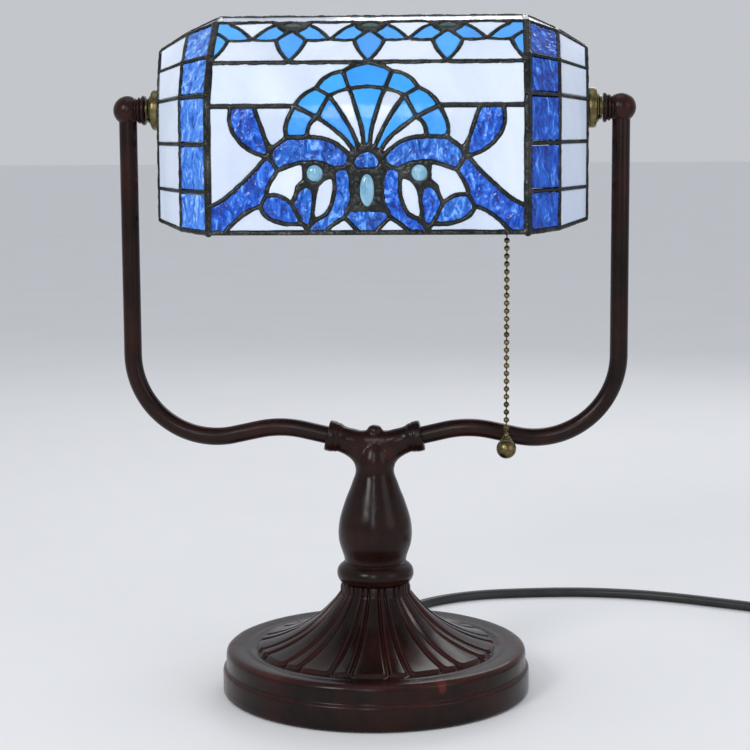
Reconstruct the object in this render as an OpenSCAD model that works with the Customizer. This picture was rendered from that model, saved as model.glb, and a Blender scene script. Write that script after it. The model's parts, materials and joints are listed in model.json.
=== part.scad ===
// Banker desk lamp: fluted cast foot, baluster column, two bent arms and a
// tilting leaded-glass shade with a bead pull chain. Millimetres, +Z up.
// Origin: centre of the felt pad's underside. The user sits on the -Y side.

/* [Stand] */
// outer radius of the cast foot
foot_r = 87.5; // [86:0.5:89]
// number of wide flutes round the foot
flutes = 13; // [12:1:16]
// outside diameter of the bent arms
tube_d = 10; // [9:0.5:10]
// bore of the bent arms
tube_bore = 7.6; // [7:0.2:7.8]
// distance from the centre to each upright arm
arm_x = 137; // [136:0.5:139]
// height of the pivot axis above the table
pivot_z = 329.4; // [326:0.2:334]

/* [Shade] */
// thickness of the glass
glass_t = 2.5; // [2.2:0.1:2.8]
// half width of a solder line
foil = 1.1; // [0.9:0.1:1.2]
// half width of the solder along the shade's edges
edge = 1.8; // [1.5:0.1:2]

/* [Chain and cord] */
// diameter of a chain bead
bead_d = 3.2; // [3:0.1:3.4]
// diameter of the pull ball
ball_d = 11; // [10:0.5:12]
// diameter of the power cord
cord_d = 6.4; // [6:0.2:6.4]

/* [Hidden] */
$fn = 48;

dark = [0.2, 0.13, 0.13];
brass = [0.6, 0.52, 0.28];
steel = [0.7, 0.7, 0.72];
solder = [0.12, 0.13, 0.12];
white = [0.88, 0.92, 0.98];
sky = [0.28, 0.63, 0.98];
cobalt = [0.22, 0.36, 0.88];
black = [0.05, 0.05, 0.06];

// arm bends: slope at the hub, crest radius, slope down, big bend radius
slope_in = 13;
crest_r = 60;
slope_out = 12;
bend_r = 47;
face_x = 27;
face_z = 146.5;
start_x = 19;
crest_x0 = 39.7;
start_z = face_z - (face_x - start_x) * tan(slope_in);
crest_z0 = face_z + (crest_x0 - face_x) * tan(slope_in);
hub_z = face_z - face_x * tan(slope_in);
crest_cx = crest_x0 + crest_r * sin(slope_in);
crest_cz = crest_z0 - crest_r * cos(slope_in);
dip_x0 = crest_cx + crest_r * sin(slope_out);
dip_z0 = crest_cz + crest_r * cos(slope_out);
dip_x1 = arm_x - bend_r * (1 + sin(slope_out));
dip_len = (dip_x1 - dip_x0) / cos(slope_out);
dip_z1 = dip_z0 - dip_len * sin(slope_out);
bend_cx = dip_x1 + bend_r * sin(slope_out);
bend_cz = dip_z1 + bend_r * cos(slope_out);
arm_top = pivot_z - 5.4;

// front profile of the shade, inner face, relative to the pivot
half_w = 84;
y0 = -57.5;
z0 = -66;
lean1 = 28.4;
lean2 = 51;
v1 = 66;
v2 = 91;
v3 = 126;
y2 = y0 + (v2 - v1) * sin(lean1);
z2 = (v2 - v1) * cos(lean1);
y3 = y2 + (v3 - v2) * sin(lean2);
z3 = z2 + (v3 - v2) * cos(lean2);
ridge_z = 48;
lean3 = atan2(-y3, ridge_z - z3);
top_len = norm([y3, ridge_z - z3]);

// inner corner points of the strips, rows from the bottom up
F = [[84, -57.5, -66], [84, -57.5, -44.5], [84, -57.5, -19.5], [84, -55.6, 6],
  [84, -42.3, 26], [84, y3, z3]];
E = [[100, -40, -64.5], [100, -40, -44], [100, -40, -19], [100, -38.1, 5.6],
  [100, -26, 23.8], [100, -6, 39.5]];
G = [[115.5, -14, -60.5], [115.5, -14, -43], [115.5, -14, -18.5], [115.5, -12.6, 4],
  [115.5, -8, 20], [115.5, -3, 31]];

// chain anchor on the lampholder
anchor = [74, -22, pivot_z - 8];
pull = 6;

// glass outlines on the front panel, [across, up along the glass], left half
white_pieces = [
  [[-84, 66], [-71.5, 66], [-72.5, 59], [-71, 53], [-66.5, 47], [-60.5, 42.5], [-53, 40],
    [-59.5, 32.5], [-68, 24.5], [-76, 17.5], [-84, 13.5]],
  [[-59.5, 66], [-57, 60], [-54, 50.5], [-50, 44.5], [-42, 50], [-43, 54.5], [-41.5, 60],
    [-38, 66]],
  [[-31.5, 50.5], [-30.5, 57], [-26, 60.5], [-18, 55], [-11, 49], [-7, 43], [-9, 40.5],
    [-15, 46.5], [-23, 50]],
  [[-20, 71.5], [-14.5, 74], [-9.5, 75.5], [-6, 66], [-2.5, 55], [-1.5, 46], [-4, 44.5],
    [-8, 54], [-14, 64]],
  [[-47, 33], [-39, 36], [-33.5, 37.5], [-33.5, 32], [-33, 28], [-37, 25], [-38, 19],
    [-40, 15.5], [-43.5, 18.5], [-48.5, 20.5], [-53.5, 19.5], [-52, 25.5]],
  [[-26, 25], [-22.5, 28], [-17.5, 30], [-17, 24], [-18, 16.5], [-21, 10], [-27, 7],
    [-29, 10], [-28, 16.5]],
  [[-62.5, 12], [-56.5, 14], [-55, 10], [-50, 6.5], [-42, 4.5], [-34, 4.5], [-31.5, 0],
    [-76, 0], [-70.5, 6]],
  [[-17, 5.5], [-12, 8], [-8.5, 4.5], [-4, 0], [-23, 0]]];
band_piece = [[-84, 66], [-38, 66], [-36.5, 68.5], [-32.5, 73], [-27, 76], [-23.5, 81.5],
  [-18, 85], [-13, 86], [-7, 89.5], [0, 91], [-84, 91]];
sky_pieces = [
  [[-42, 50], [-43, 54.5], [-41.5, 60], [-38, 66], [-26, 60.5], [-30.5, 57], [-31.5, 50.5]],
  [[-38, 66], [-36.5, 68.5], [-32.5, 73], [-27, 76], [-20, 71.5], [-26, 60.5]],
  [[-27, 76], [-23.5, 81.5], [-18, 85], [-13, 86], [-9.5, 75.5], [-14.5, 74], [-20, 71.5]],
  [[-26, 60.5], [-20, 71.5], [-14, 64], [-8, 54], [-4, 44.5], [-7, 43], [-11, 49], [-18, 55]]];
cobalt_pieces = [
  [[-71.5, 66], [-59.5, 66], [-57, 60], [-54, 50.5], [-52, 41.5], [-53, 40], [-60.5, 42.5],
    [-66.5, 47], [-71, 53], [-72.5, 59]],
  [[-50, 44.5], [-42, 50], [-31.5, 50.5], [-23, 50], [-15, 46.5], [-9, 40.5], [-10.5, 36],
    [-16, 33.5], [-23, 37], [-29, 38], [-33.5, 37.5], [-39, 36], [-47, 33], [-50.5, 38]],
  [[-53, 40], [-50.5, 38], [-47, 33], [-52, 25.5], [-53.5, 19.5], [-56.5, 14], [-62.5, 12],
    [-70.5, 6], [-76, 0], [-84, 0], [-84, 13.5], [-76, 17.5], [-68, 24.5], [-59.5, 32.5]],
  [[-56.5, 14], [-53.5, 19.5], [-48.5, 20.5], [-43.5, 18.5], [-40, 15.5], [-37, 9.5],
    [-34, 4.5], [-42, 4.5], [-50, 6.5], [-55, 10]],
  [[-40, 15.5], [-38, 19], [-35.5, 23], [-32, 24.5], [-29, 22.5], [-28, 16.5], [-29, 10],
    [-30.5, 3.5], [-34, 4.5], [-37, 9.5]],
  [[-17.5, 30], [-16, 33.5], [-10.5, 34], [-8.5, 27], [-8.5, 18], [-11, 11.5], [-12, 8],
    [-17, 5.5], [-23, 0], [-31.5, 0], [-30.5, 3.5], [-27, 7], [-21, 10], [-18, 16.5],
    [-17, 24]]];
mid_sky = [
  [[-13, 86], [-7, 89.5], [0, 91], [7, 89.5], [13, 86], [9.5, 75.5], [0, 77], [-9.5, 75.5]],
  [[-9.5, 75.5], [0, 77], [9.5, 75.5], [6, 66], [2.5, 55], [1.5, 46], [-1.5, 46], [-2.5, 55],
    [-6, 66]]];
mid_cobalt = [
  [[-7.5, 37.5], [-3.5, 42], [0, 43], [3.5, 42], [7.5, 37.5], [5.5, 33.5], [-5.5, 33.5]],
  [[-11, 11.5], [0, 12], [11, 11.5], [12, 8], [8.5, 4.5], [4, 0], [-4, 0], [-8.5, 4.5],
    [-12, 8]]];
// frieze motif, repeated every 42 mm across
bud = [[0, 118], [4.5, 114.5], [8, 110], [6, 101.5], [0, 91], [-6, 101.5], [-8, 110],
  [-4.5, 114.5]];
petal = [[2.5, 117], [6, 119.5], [8.5, 124], [13, 121.5], [17.5, 116], [21, 110.5],
  [14, 109.5], [8, 110], [4.5, 114.5]];
scallop = [[8, 110], [14, 109.5], [21, 110.5], [28, 109.5], [34, 110], [36, 101.5], [42, 91],
  [0, 91], [6, 101.5]];
// the end petals run into the corner columns
end_petal = [[-84, 118], [-79.5, 114.5], [-76, 110], [-70, 109.5], [-63, 110.5], [-66.5, 116],
  [-71, 121.5], [-75.5, 124], [-75.5, 126], [-84, 126]];
spandrel = [[8.5, 124], [13, 121.5], [17.5, 116], [21, 110.5], [24.5, 116], [29, 121.5],
  [33.5, 124], [33.5, 126], [8.5, 126]];
// jewels: across, up, half width, half height
jewel_list = [[-27.5, 31.5, 4.2, 4.2], [27.5, 31.5, 4.2, 4.2], [0, 22.5, 3.7, 8.5],
  [-42, 122.2, 5.4, 2.7], [0, 122.2, 5.4, 2.7], [42, 122.2, 5.4, 2.7]];

function flip(p) = [for (q = p) [-q.x, q.y]];
function shift(p, d) = [for (q = p) [q.x + d, q.y]];
function both(list) = concat(list, [for (p = list) flip(p)]);
whites = concat(both(concat(white_pieces, [band_piece])),
  [for (d = [-84, -42, 0, 42]) shift(scallop, d)], [for (d = [-84, -42, 0, 42]) shift(spandrel, d)]);
skies = concat(both(sky_pieces), mid_sky, [for (d = [-84, -42, 0, 42, 84]) shift(bud, d)],
  both(concat([end_petal], [for (d = [-42, 0, 42]) shift(petal, d)])));
cobalts = concat(both(cobalt_pieces), mid_cobalt);

function unit(v) = v / norm(v);
function add(v, i = 0) = i < len(v) ? v[i] + add(v, i + 1) : 0;
function area(p) = add([for (i = [0:len(p) - 1]) let (a = p[i], b = p[(i + 1) % len(p)])
  (a.x * b.y - b.x * a.y) / 2]);
function ccw(p) = area(p) > 0 ? p : [for (i = [len(p) - 1:-1:0]) p[i]];
// the part of outline p where n*q is at most d
function keep(p, n, d) = [for (i = [0:len(p) - 1])
  let (a = p[i], b = p[(i + 1) % len(p)], fa = d - n * a, fb = d - n * b)
  each concat(fa >= 0 ? [a] : [], fa * fb < 0 ? [a + (b - a) * (fa / (fa - fb))] : [])];
function inset(p, w) = [for (i = [0:len(p) - 1])
  let (n = len(p), a = p[(i + n - 1) % n], b = p[i], c = p[(i + 1) % n],
    e1 = unit(b - a), e2 = unit(c - b), n1 = [-e1.y, e1.x], n2 = [-e2.y, e2.x])
  b + (n1 + n2) * w / max(0.35, 1 + n1 * n2)];
function rows_of(p, lo, hi) = keep(keep(keep(keep(p, [0, -1], -lo), [0, 1], hi), [1, 0], half_w),
  [-1, 0], half_w);
function pane(p) = keep(keep(inset(ccw(p), foil), [1, 0], half_w - edge), [-1, 0], half_w - edge);
function panes(list, lo, hi) = [for (p = list) let (c = rows_of(p, lo, hi))
  if (len(c) > 2) if (abs(area(c)) > 4) pane(c)];
function oval(j, n = 20) = [for (i = [0:n - 1])
  [j[0] + j[2] * cos(360 * i / n), j[1] + j[3] * sin(360 * i / n)]];

// ---------- stand ----------
module felt_pad() {
  color([0.1, 0.16, 0.12]) difference() {
    cylinder(r = 83.8, h = 2);
    translate([0, 0, -1]) cylinder(r = 3, h = 4);
  }
}

module base_plate() {
  color(steel) translate([0, 0, 2]) difference() {
    cylinder(r = 83.8, h = 1.6);
    translate([0, 0, -1]) cylinder(r = 3, h = 4);
  }
}

module base_weight() {
  color([0.25, 0.25, 0.27]) difference() {
    translate([0, 0, 3.6]) cylinder(r = 78, h = 12.4);
    translate([0, 0, 3]) cylinder(r = 38, h = 14);
    translate([-5, 20, 3]) cube([10, 70, 14]);
  }
}

module foot_block() {
  rotate_extrude() difference() {
    polygon([[0, 0.8], [foot_r - 0.6, 0.8], [foot_r, 1.6], [foot_r, 13.2], [foot_r - 0.5, 14.2],
      [foot_r - 1.6, 14.8], [foot_r - 1.9, 15.4], [foot_r - 1.9, 22.4], [foot_r - 2.6, 24.2],
      [foot_r - 4.2, 25.3], [foot_r - 6, 25.5], [70, 25.5], [19.5, 62], [0, 62]]);
    translate([80, 98]) circle(r = 73.2);
    translate([19.5, 57]) square([60, 10]);
  }
}

module base_foot() {
  color(dark) difference() {
    foot_block();
    rotate_extrude() polygon([[0, 0], [84, 0], [84, 3.6], [81.5, 3.6], [81.5, 21],
      [64, 21.5], [50, 26], [40, 31], [30, 37.5], [22, 44.5], [14, 50], [0, 50]]);
    translate([0, 0, 40]) cylinder(r = 5, h = 30);
    translate([0, 70, 9]) rotate([-90, 0, 0]) cylinder(r = 5, h = 30);
    for (i = [0:flutes - 1], s = [-1, 1])
      rotate([0, 0, 270 + i * 360 / flutes + s * 120 / flutes]) translate([80, 0, 98])
        rotate([90, 0, 0]) rotate([0, 0, 217]) rotate_extrude(angle = 44.5)
          translate([73.2, 0]) circle(r = 1.2);
  }
}

module stem_ring() {
  color(dark) rotate_extrude() polygon([[5, 62], [18.6, 62], [20, 63], [21.3, 64.8],
    [21.9, 67], [21.7, 69], [20.8, 71], [19.4, 72.6], [17.6, 73.5], [5, 73.5]]);
}

module hub_arm() {
  translate([face_x, 0, face_z]) rotate([0, 90 - slope_in, 0]) rotate_extrude()
    polygon([[0, -27.6], [7, -27.6], [7, -9], [7.5, -6], [8.2, -3.8], [8.65, -2.4], [8.65, -0.4],
      [8.3, 0], [0, 0]]);
}

module column() {
  color(dark) difference() {
    union() {
      rotate_extrude() polygon([[0, 73.5], [17.4, 73.5], [17.6, 76], [18.9, 80], [20.2, 84],
        [20.9, 88], [21, 92], [20.6, 96], [19.8, 100], [18.3, 105], [16.6, 110], [14.6, 115],
        [12.8, 120], [11.4, 124], [10.9, 127], [11.3, 130], [12.6, 133], [13.6, 137],
        [13, 142], [11, 146.5], [8, 149], [5, 149.6], [0, 149.6]]);
      hub_arm();
      mirror([1, 0, 0]) hub_arm();
    }
    translate([0, 0, 70]) cylinder(r = 5, h = 64);
    translate([0, 0, 130]) cylinder(r = 3, h = 22);
    for (m = [0, 1]) mirror([m, 0, 0]) {
      translate([0, 0, hub_z]) rotate([0, 90 - slope_in, 0]) cylinder(r = 3, h = 25);
      translate([start_x, 0, start_z]) rotate([0, 90 - slope_in, 0]) cylinder(d = tube_d, h = 20);
    }
  }
}

module tie_rod() {
  color(steel) translate([0, 0, 38]) difference() {
    cylinder(r = 5, h = 96);
    translate([0, 0, -1]) cylinder(r = 3.4, h = 98);
  }
}

module rod_washer() {
  color(steel) translate([0, 0, 48.4]) difference() {
    cylinder(r = 12, h = 1.6);
    translate([0, 0, -1]) cylinder(r = 5, h = 4);
  }
}

module rod_nut() {
  color(steel) translate([0, 0, 41.4]) difference() {
    cylinder(r = 9.5, h = 7, $fn = 6);
    translate([0, 0, -1]) cylinder(r = 5, h = 9);
  }
}

module hub_plug() {
  color(dark) rotate_extrude() polygon([[0, 145], [3, 145], [3, 149.6], [4.6, 149.6],
    [4.4, 151], [3.4, 152.2], [1.8, 152.8], [0, 153]]);
}

// a round tube along points c; b is its bore, ref any direction not along it
module hose(c, r, b, sides, ref) {
  n = len(c) - 1;
  d = [for (i = [0:n]) unit(c[min(i + 1, n)] - c[max(i - 1, 0)])];
  s = [for (q = d) unit(cross(ref, q))];
  function loop(w) = [for (i = [0:n], k = [0:sides - 1])
    c[i] + w * (s[i] * cos(360 * k / sides) + cross(d[i], s[i]) * sin(360 * k / sides))];
  m = (n + 1) * sides;
  function wall(o) = [for (i = [0:n - 1], k = [0:sides - 1])
    let (j = (k + 1) % sides, p = o + i * sides, q = p + sides)
    each [[p + k, q + k, q + j], [p + k, q + j, p + j]]];
  function back_to_front(f) = [for (q = f) [for (k = [len(q) - 1:-1:0]) q[k]]];
  function lid(p) = [for (k = [0:sides - 1]) let (j = (k + 1) % sides)
    each [[p + k, p + j, m + p + j], [p + k, m + p + j, m + p + k]]];
  if (b > 0)
    polyhedron(concat(loop(r), loop(b)), concat(wall(0), back_to_front(wall(m)), lid(0),
      back_to_front(lid(n * sides))), convexity = 8);
  else
    polyhedron(loop(r), concat(wall(0), [[for (k = [0:sides - 1]) k],
      [for (k = [sides - 1:-1:0]) n * sides + k]]), convexity = 8);
}

// centre line of the right arm as [x, z] points from the hub to the knuckle
arm_line = concat([[start_x, start_z]],
  [for (a = [slope_in:-5:-slope_out]) [crest_cx - crest_r * sin(a), crest_cz + crest_r * cos(a)]],
  [for (a = [-slope_out:6:90]) [bend_cx + bend_r * sin(a), bend_cz - bend_r * cos(a)]],
  [[arm_x, arm_top]]);

module arm() {
  color(dark) hose([for (p = arm_line) [p.x, 0, p[1]]], tube_d / 2, tube_bore / 2, 20, [0, 1, 0]);
}

module arm_right() {
  arm();
}

module arm_left() {
  mirror([1, 0, 0]) arm();
}

module knuckle() {
  color(dark) difference() {
    translate([arm_x, 0, pivot_z]) sphere(r = 8.1);
    translate([arm_x - 14.5, -10, pivot_z - 10]) cube([10, 20, 20]);
    translate([arm_x, 0, arm_top - 10]) cylinder(d = tube_d, h = 10);
    translate([arm_x, 0, arm_top - 1]) cylinder(r = 3.6, h = 6.4);
    translate([arm_x - 10, 0, pivot_z]) rotate([0, 90, 0]) cylinder(r = 4.05, h = 10);
  }
}

module knuckle_right() {
  knuckle();
}

module knuckle_left() {
  mirror([1, 0, 0]) knuckle();
}

module collar() {
  color(dark) translate([arm_x - 4.5, 0, pivot_z]) rotate([0, -90, 0]) rotate_extrude()
    polygon([[4.05, 0], [5.2, 0], [5.2, 0.6], [6.3, 0.6], [6.6, 0.9], [6.6, 1.3], [6.1, 1.6],
      [6.1, 1.8], [7, 2], [7.3, 2.3], [7.3, 2.9], [6.8, 3.2], [6.8, 3.5], [7.8, 3.9],
      [8.2, 4.3], [8.2, 5.2], [7.8, 5.7], [4.05, 5.7]]);
}

module collar_right() {
  collar();
}

module collar_left() {
  mirror([1, 0, 0]) collar();
}

module cord_gland() {
  color(black) translate([0, 0, 9]) rotate([-90, 0, 0]) rotate_extrude()
    polygon([[cord_d / 2, 78], [4.95, 78], [4.95, 87.5], [7, 87.5], [7, 90], [5.8, 91],
      [4.2, 115], [cord_d / 2, 115]]);
}

module terminal_block() {
  color([0.85, 0.84, 0.8]) difference() {
    translate([-8, 14, 3.6]) cube([16, 18, 12]);
    for (x = [-4, 4]) translate([x, 23, 9]) cylinder(r = 1.8, h = 8);
  }
}

elbow_r = 2.5;
elbow_z = hub_z - elbow_r * cos(slope_in) + elbow_r * tan(slope_in) * (1 - sin(slope_in));
lead_line = concat(
  [for (a = [0:15:90]) [0, 14 - 14 * sin(a), 23 - 14 * cos(a)]],
  [for (a = [90:-11:slope_in]) [elbow_r - elbow_r * sin(a), 0, elbow_z + elbow_r * cos(a)]],
  [for (i = [0:len(arm_line) - 2]) [arm_line[i].x, 0, arm_line[i][1]]],
  [for (a = [90:15:180]) [arm_x - 3.4 + 3.4 * sin(a), 0, arm_top + 2 - 3.4 * cos(a)]]);

module stand_lead() {
  color([0.75, 0.72, 0.6]) hose(lead_line, 2, 0, 8, [0.3, 1, 0.2]);
}

// power cord: straight out of the gland, down to the table, then to the coil
route = [[0, 32, 9], [0, 60, 9], [0, 90, 9], [0, 116, 9], [0, 124, 8.8], [2, 138, 6.6], [6, 153, 3.6],
  [14, 170, 3.2], [26, 186, 3.2], [44, 200, 3.2], [64, 209, 3.2], [86, 214, 3.2],
  [108, 217, 3.2], [130, 218, 3.2], [152, 216, 3.2], [174, 211, 3.2], [196, 203, 3.2],
  [216, 193.5, 3.2], [236, 183.5, 3.2], [256, 173, 3.2], [276, 163.5, 3.2], [292, 158, 3.2]];
function spot(t) = let (n = len(route) - 1, i = min(floor(t), n - 1), u = t - i,
  a = route[max(i - 1, 0)], b = route[i], c = route[i + 1], d = route[min(i + 2, n)])
  0.5 * ((2 * b) + (c - a) * u + (2 * a - 5 * b + 4 * c - d) * u * u
    + (3 * b - a - 3 * c + d) * u * u * u);

module power_cord() {
  color(black) hose([for (i = [0:63]) spot((len(route) - 1) * i / 63)], cord_d / 2 - 0.02, 0, 10,
    [0, 0, 1]);
}

// coiled rest of the cord beside the lamp, and the plug on its free end
coil_at = [300, 115];
module cord_coil() {
  color(black) translate([coil_at.x, coil_at.y, 0]) rotate_extrude()
    polygon([[32.4, 1.2], [33.6, 0], [44, 0], [45.2, 1.2], [45.2, 17.6], [44, 18.8],
      [33.6, 18.8], [32.4, 17.6]]);
}

plug_at = [342, 71];
module plug_body() {
  color(black) translate([plug_at.x, plug_at.y, 0]) {
    translate([-10, -32, 0]) cube([20, 32, 17]);
    translate([0, 0, 8.5]) rotate([-90, 0, 0]) cylinder(r1 = 7.5, r2 = 4.6, h = 29);
  }
}

module plug_pins() {
  color(brass) for (s = [-1, 1])
    translate([plug_at.x + s * 6.35 - 0.75, plug_at.y - 48, 5.3]) cube([1.5, 16, 6.4]);
}

// ---------- shade ----------
module washer() {
  color(brass) translate([120, 0, pivot_z]) rotate([0, 90, 0]) rotate_extrude()
    polygon([[4, -2], [10.4, -2], [11, -1.4], [11, 2.6], [10.4, 3.3], [8.4, 3.6], [6.8, 4.1],
      [6.4, 4.6], [6.4, 6.2], [4, 6.2]]);
}

module washer_right() {
  washer();
}

module washer_left() {
  mirror([1, 0, 0]) washer();
}

module pivot_nipple() {
  color(brass) translate([104, 0, pivot_z]) rotate([0, 90, 0]) difference() {
    cylinder(r = 4, h = 29);
    translate([0, 0, -1]) cylinder(r = 2.8, h = 31);
  }
}

module pivot_nipple_right() {
  pivot_nipple();
}

module pivot_nipple_left() {
  mirror([1, 0, 0]) pivot_nipple();
}

module pivot_nuts() {
  color(brass) for (m = [0, 1]) mirror([m, 0, 0])
    translate([110.5, 0, pivot_z]) rotate([0, 90, 0]) difference() {
      cylinder(r = 8, h = 5, $fn = 6);
      translate([0, 0, -1]) cylinder(r = 4, h = 7);
    }
}

// one flat facet of the front panel, drawn from its lower edge
module facet(y, z, lean) {
  translate([0, y, pivot_z + z]) rotate([90 - lean, 0, 0]) children();
}

// the places of the glass and of the jewels between heights lo and hi
module glass_places(lo, hi) {
  for (p = panes(concat(whites, skies, cobalts), lo, hi)) polygon(p);
  for (j = jewel_list) if (j[1] > lo && j[1] < hi)
    if (j[2] == j[3]) translate([j[0], j[1]]) circle(r = j[2]);
    else polygon(oval(j));
}

module glass_cut(lo, hi) {
  translate([0, -lo, -0.5]) linear_extrude(glass_t + 1) glass_places(lo, hi);
}

module glass_sheet(list, lo, hi) {
  linear_extrude(glass_t) translate([0, -lo]) for (p = panes(list, lo, hi)) polygon(p);
}

module panel_glass(list) {
  facet(y0, z0, 0) glass_sheet(list, 0, v1);
  facet(y0, 0, lean1) glass_sheet(list, v1, v2);
  facet(y2, z2, lean2) glass_sheet(list, v2, v3);
}

// solder filling the outer wedge along a bend of the front panel
module bend_fill(y, z, a, b) {
  translate([-half_w, y, pivot_z + z]) rotate([90, 0, 90]) linear_extrude(2 * half_w)
    polygon([[0, 0], glass_t * [-cos(a), sin(a)], glass_t * [-cos(b), sin(b)]]);
}

module panel_lower() {
  difference() {
    translate([-half_w, y0 - glass_t, pivot_z + z0 - 1]) cube([2 * half_w, glass_t, v1 + 1]);
    facet(y0, z0, 0) glass_cut(0, v1);
  }
}

// both upper facets as one bent sheet
module panel_upper() {
  a = [y0, 0];
  b = [y2, z2];
  c = [y3, z3];
  function face(p, t) = p + glass_t * [-cos(t), sin(t)];
  difference() {
    translate([-half_w, 0, pivot_z]) rotate([90, 0, 90]) linear_extrude(2 * half_w)
      polygon([a, b, c, face(c, lean2), face(b, lean2), face(b, lean1), face(a, lean1), face(a, 0)]);
    facet(y0, 0, lean1) glass_cut(v1, v2);
    facet(y2, z2, lean2) glass_cut(v2, v3);
  }
}

module front_came_lower() {
  color(solder) panel_lower();
}

module front_came_upper() {
  color(solder) panel_upper();
}

module back_came_lower() {
  color(solder) mirror([0, 1, 0]) panel_lower();
}

module back_came_upper() {
  color(solder) mirror([0, 1, 0]) panel_upper();
}

module front_white_glass() {
  color(white) panel_glass(whites);
}

module front_sky_glass() {
  color(sky) panel_glass(skies);
}

module front_cobalt_glass() {
  color(cobalt) panel_glass(cobalts);
}

module back_white_glass() {
  color(white) mirror([0, 1, 0]) panel_glass(whites);
}

module back_sky_glass() {
  color(sky) mirror([0, 1, 0]) panel_glass(skies);
}

module back_cobalt_glass() {
  color(cobalt) mirror([0, 1, 0]) panel_glass(cobalts);
}

module cabochon(j, lo) {
  translate([j[0], j[1] - lo, 0]) {
    if (j[2] == j[3]) rotate_extrude() polygon([[0, 0], [j[2], 0], [j[2], glass_t],
      [j[2] * 0.8, glass_t + 1.2], [j[2] * 0.5, glass_t + 1.9], [0, glass_t + 2.2]]);
    else for (k = [0:2]) linear_extrude(glass_t + 0.8 * k)
      polygon(oval([0, 0, j[2] - 0.7 * k, j[3] - 0.7 * k]));
  }
}

module jewels() {
  color([0.55, 0.8, 0.84]) for (m = [0, 1]) mirror([0, m, 0]) {
    facet(y0, z0, 0) for (i = [0:2]) cabochon(jewel_list[i], 0);
    facet(y2, z2, lean2) for (i = [3:5]) cabochon(jewel_list[i], v2);
  }
}

module top_came() {
  color(solder) for (m = [0, 1]) mirror([0, m, 0]) {
    facet(y3, z3, lean3) linear_extrude(glass_t) difference() {
      translate([-half_w, 0]) square([2 * half_w, top_len]);
      translate([edge - half_w, foil]) square([2 * (half_w - edge), top_len - 2 * foil]);
    }
    bend_fill(y3, z3, lean2, lean3);
    bend_fill(0, ridge_z, lean3, 90);
  }
}

module top_glass() {
  color(white) for (m = [0, 1]) mirror([0, m, 0])
    facet(y3, z3, lean3) linear_extrude(glass_t)
      translate([edge - half_w, foil]) square([2 * (half_w - edge), top_len - 2 * foil]);
}

// pane of glass in the flat quad q, counter-clockwise from outside, w in from its edges
module quad(q, w, over = 0) {
  ux = unit(q[1] - q[0]);
  n = unit(cross(ux, q[2] - q[0]));
  uy = cross(n, ux);
  f = [for (p = q) [(p - q[0]) * ux, (p - q[0]) * uy]];
  multmatrix([[ux.x, uy.x, n.x, q[0].x], [ux.y, uy.y, n.y, q[0].y],
    [ux.z, uy.z, n.z, q[0].z + pivot_z], [0, 0, 0, 1]])
    translate([0, 0, -over]) linear_extrude(glass_t + 2 * over) polygon(inset(f, w));
}

function normal(q) = unit(cross(q[1] - q[0], q[2] - q[0]));
function back(p) = [p.x, -p.y, p.z];
strips = [for (i = [0:4]) [F[i], E[i], E[i + 1], F[i + 1]]];
sides = [for (i = [0:4]) [E[i], G[i], G[i + 1], E[i + 1]]];
flats = [for (i = [0:4]) [G[i], back(G[i]), back(G[i + 1]), G[i + 1]]];
ridge = [[84, 0, 48], [100, 0, 40.9], [115.5, 0, 31.7]];
hips = [[F[5], E[5], ridge[1], ridge[0]], [E[5], G[5], ridge[2], ridge[1]]];

function raised(q) = [for (p = q) p + normal(q) * glass_t];
function mirrored(list) = concat(list, [for (p = list) back(p)]);
outer_points = mirrored(concat(F, E, G, ridge, [for (q = concat(strips, sides, hips)) each raised(q)],
  [for (q = flats) each raised(q)], [for (i = [0:4], k = [0, 1])
    F[i + k] + glass_t * unit(cross([1, 0, 0], F[i + 1] - F[i]))],
  [ridge[0] + [0, 0, glass_t], F[5] + glass_t * [0, -sin(20), cos(20)]]));
inner_points = mirrored(concat(F, E, G, ridge, [for (p = F) p - [6, 0, 0]], [ridge[0] - [6, 0, 0]],
  [for (p = [F[0], E[0], G[0], F[0] - [6, 0, 0]]) p - [0, 0, 20]]));

module solid_over(p) {
  translate([0, 0, pivot_z]) hull() polyhedron(p, [[for (i = [0:len(p) - 1]) i]]);
}

module end_panes(over = 0) {
  for (m = [0, 1]) mirror([0, m, 0]) {
    for (q = strips) quad(q, edge, over);
    for (q = concat(sides, hips)) quad(q, 1.4, over);
  }
  for (q = flats) quad(q, 1.4, over);
}

module end_frames() {
  difference() {
    solid_over(outer_points);
    solid_over(inner_points);
    end_panes(0.8);
    translate([110, 0, pivot_z]) rotate([0, 90, 0]) cylinder(r = 4, h = 20);
  }
}

module end_came_right() {
  color(solder) end_frames();
}

module end_came_left() {
  color(solder) mirror([1, 0, 0]) end_frames();
}

module corner_glass() {
  color(cobalt) for (mx = [0, 1], my = [0, 1]) mirror([mx, 0, 0]) mirror([0, my, 0])
    for (q = strips) quad(q, edge);
}

module end_glass() {
  color(white) for (mx = [0, 1]) mirror([mx, 0, 0]) {
    for (my = [0, 1]) mirror([0, my, 0]) for (q = concat(sides, hips)) quad(q, 1.4);
    difference() {
      for (q = flats) quad(q, 1.4);
      translate([110, 0, pivot_z]) rotate([0, 90, 0]) cylinder(r = 4, h = 20);
    }
  }
}

// ---------- lampholder, on the right-hand nipple ----------
module spin(x) {
  translate([x, 0, pivot_z]) rotate([0, 90, 0]) children();
}

module socket_cap() {
  color(brass) spin(0) rotate_extrude()
    polygon([[4, 104], [8, 104], [12, 101.5], [15.5, 97], [17, 92], [17, 88], [18, 88],
      [18, 92.2], [16.4, 97.6], [12.6, 102.6], [8.4, 105.2], [4, 105.2]]);
}

module guide_cut(r) {
  translate([anchor.x, anchor.y + 4, anchor.z]) rotate([-90, 0, 0]) cylinder(r = r, h = 8);
}

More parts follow.
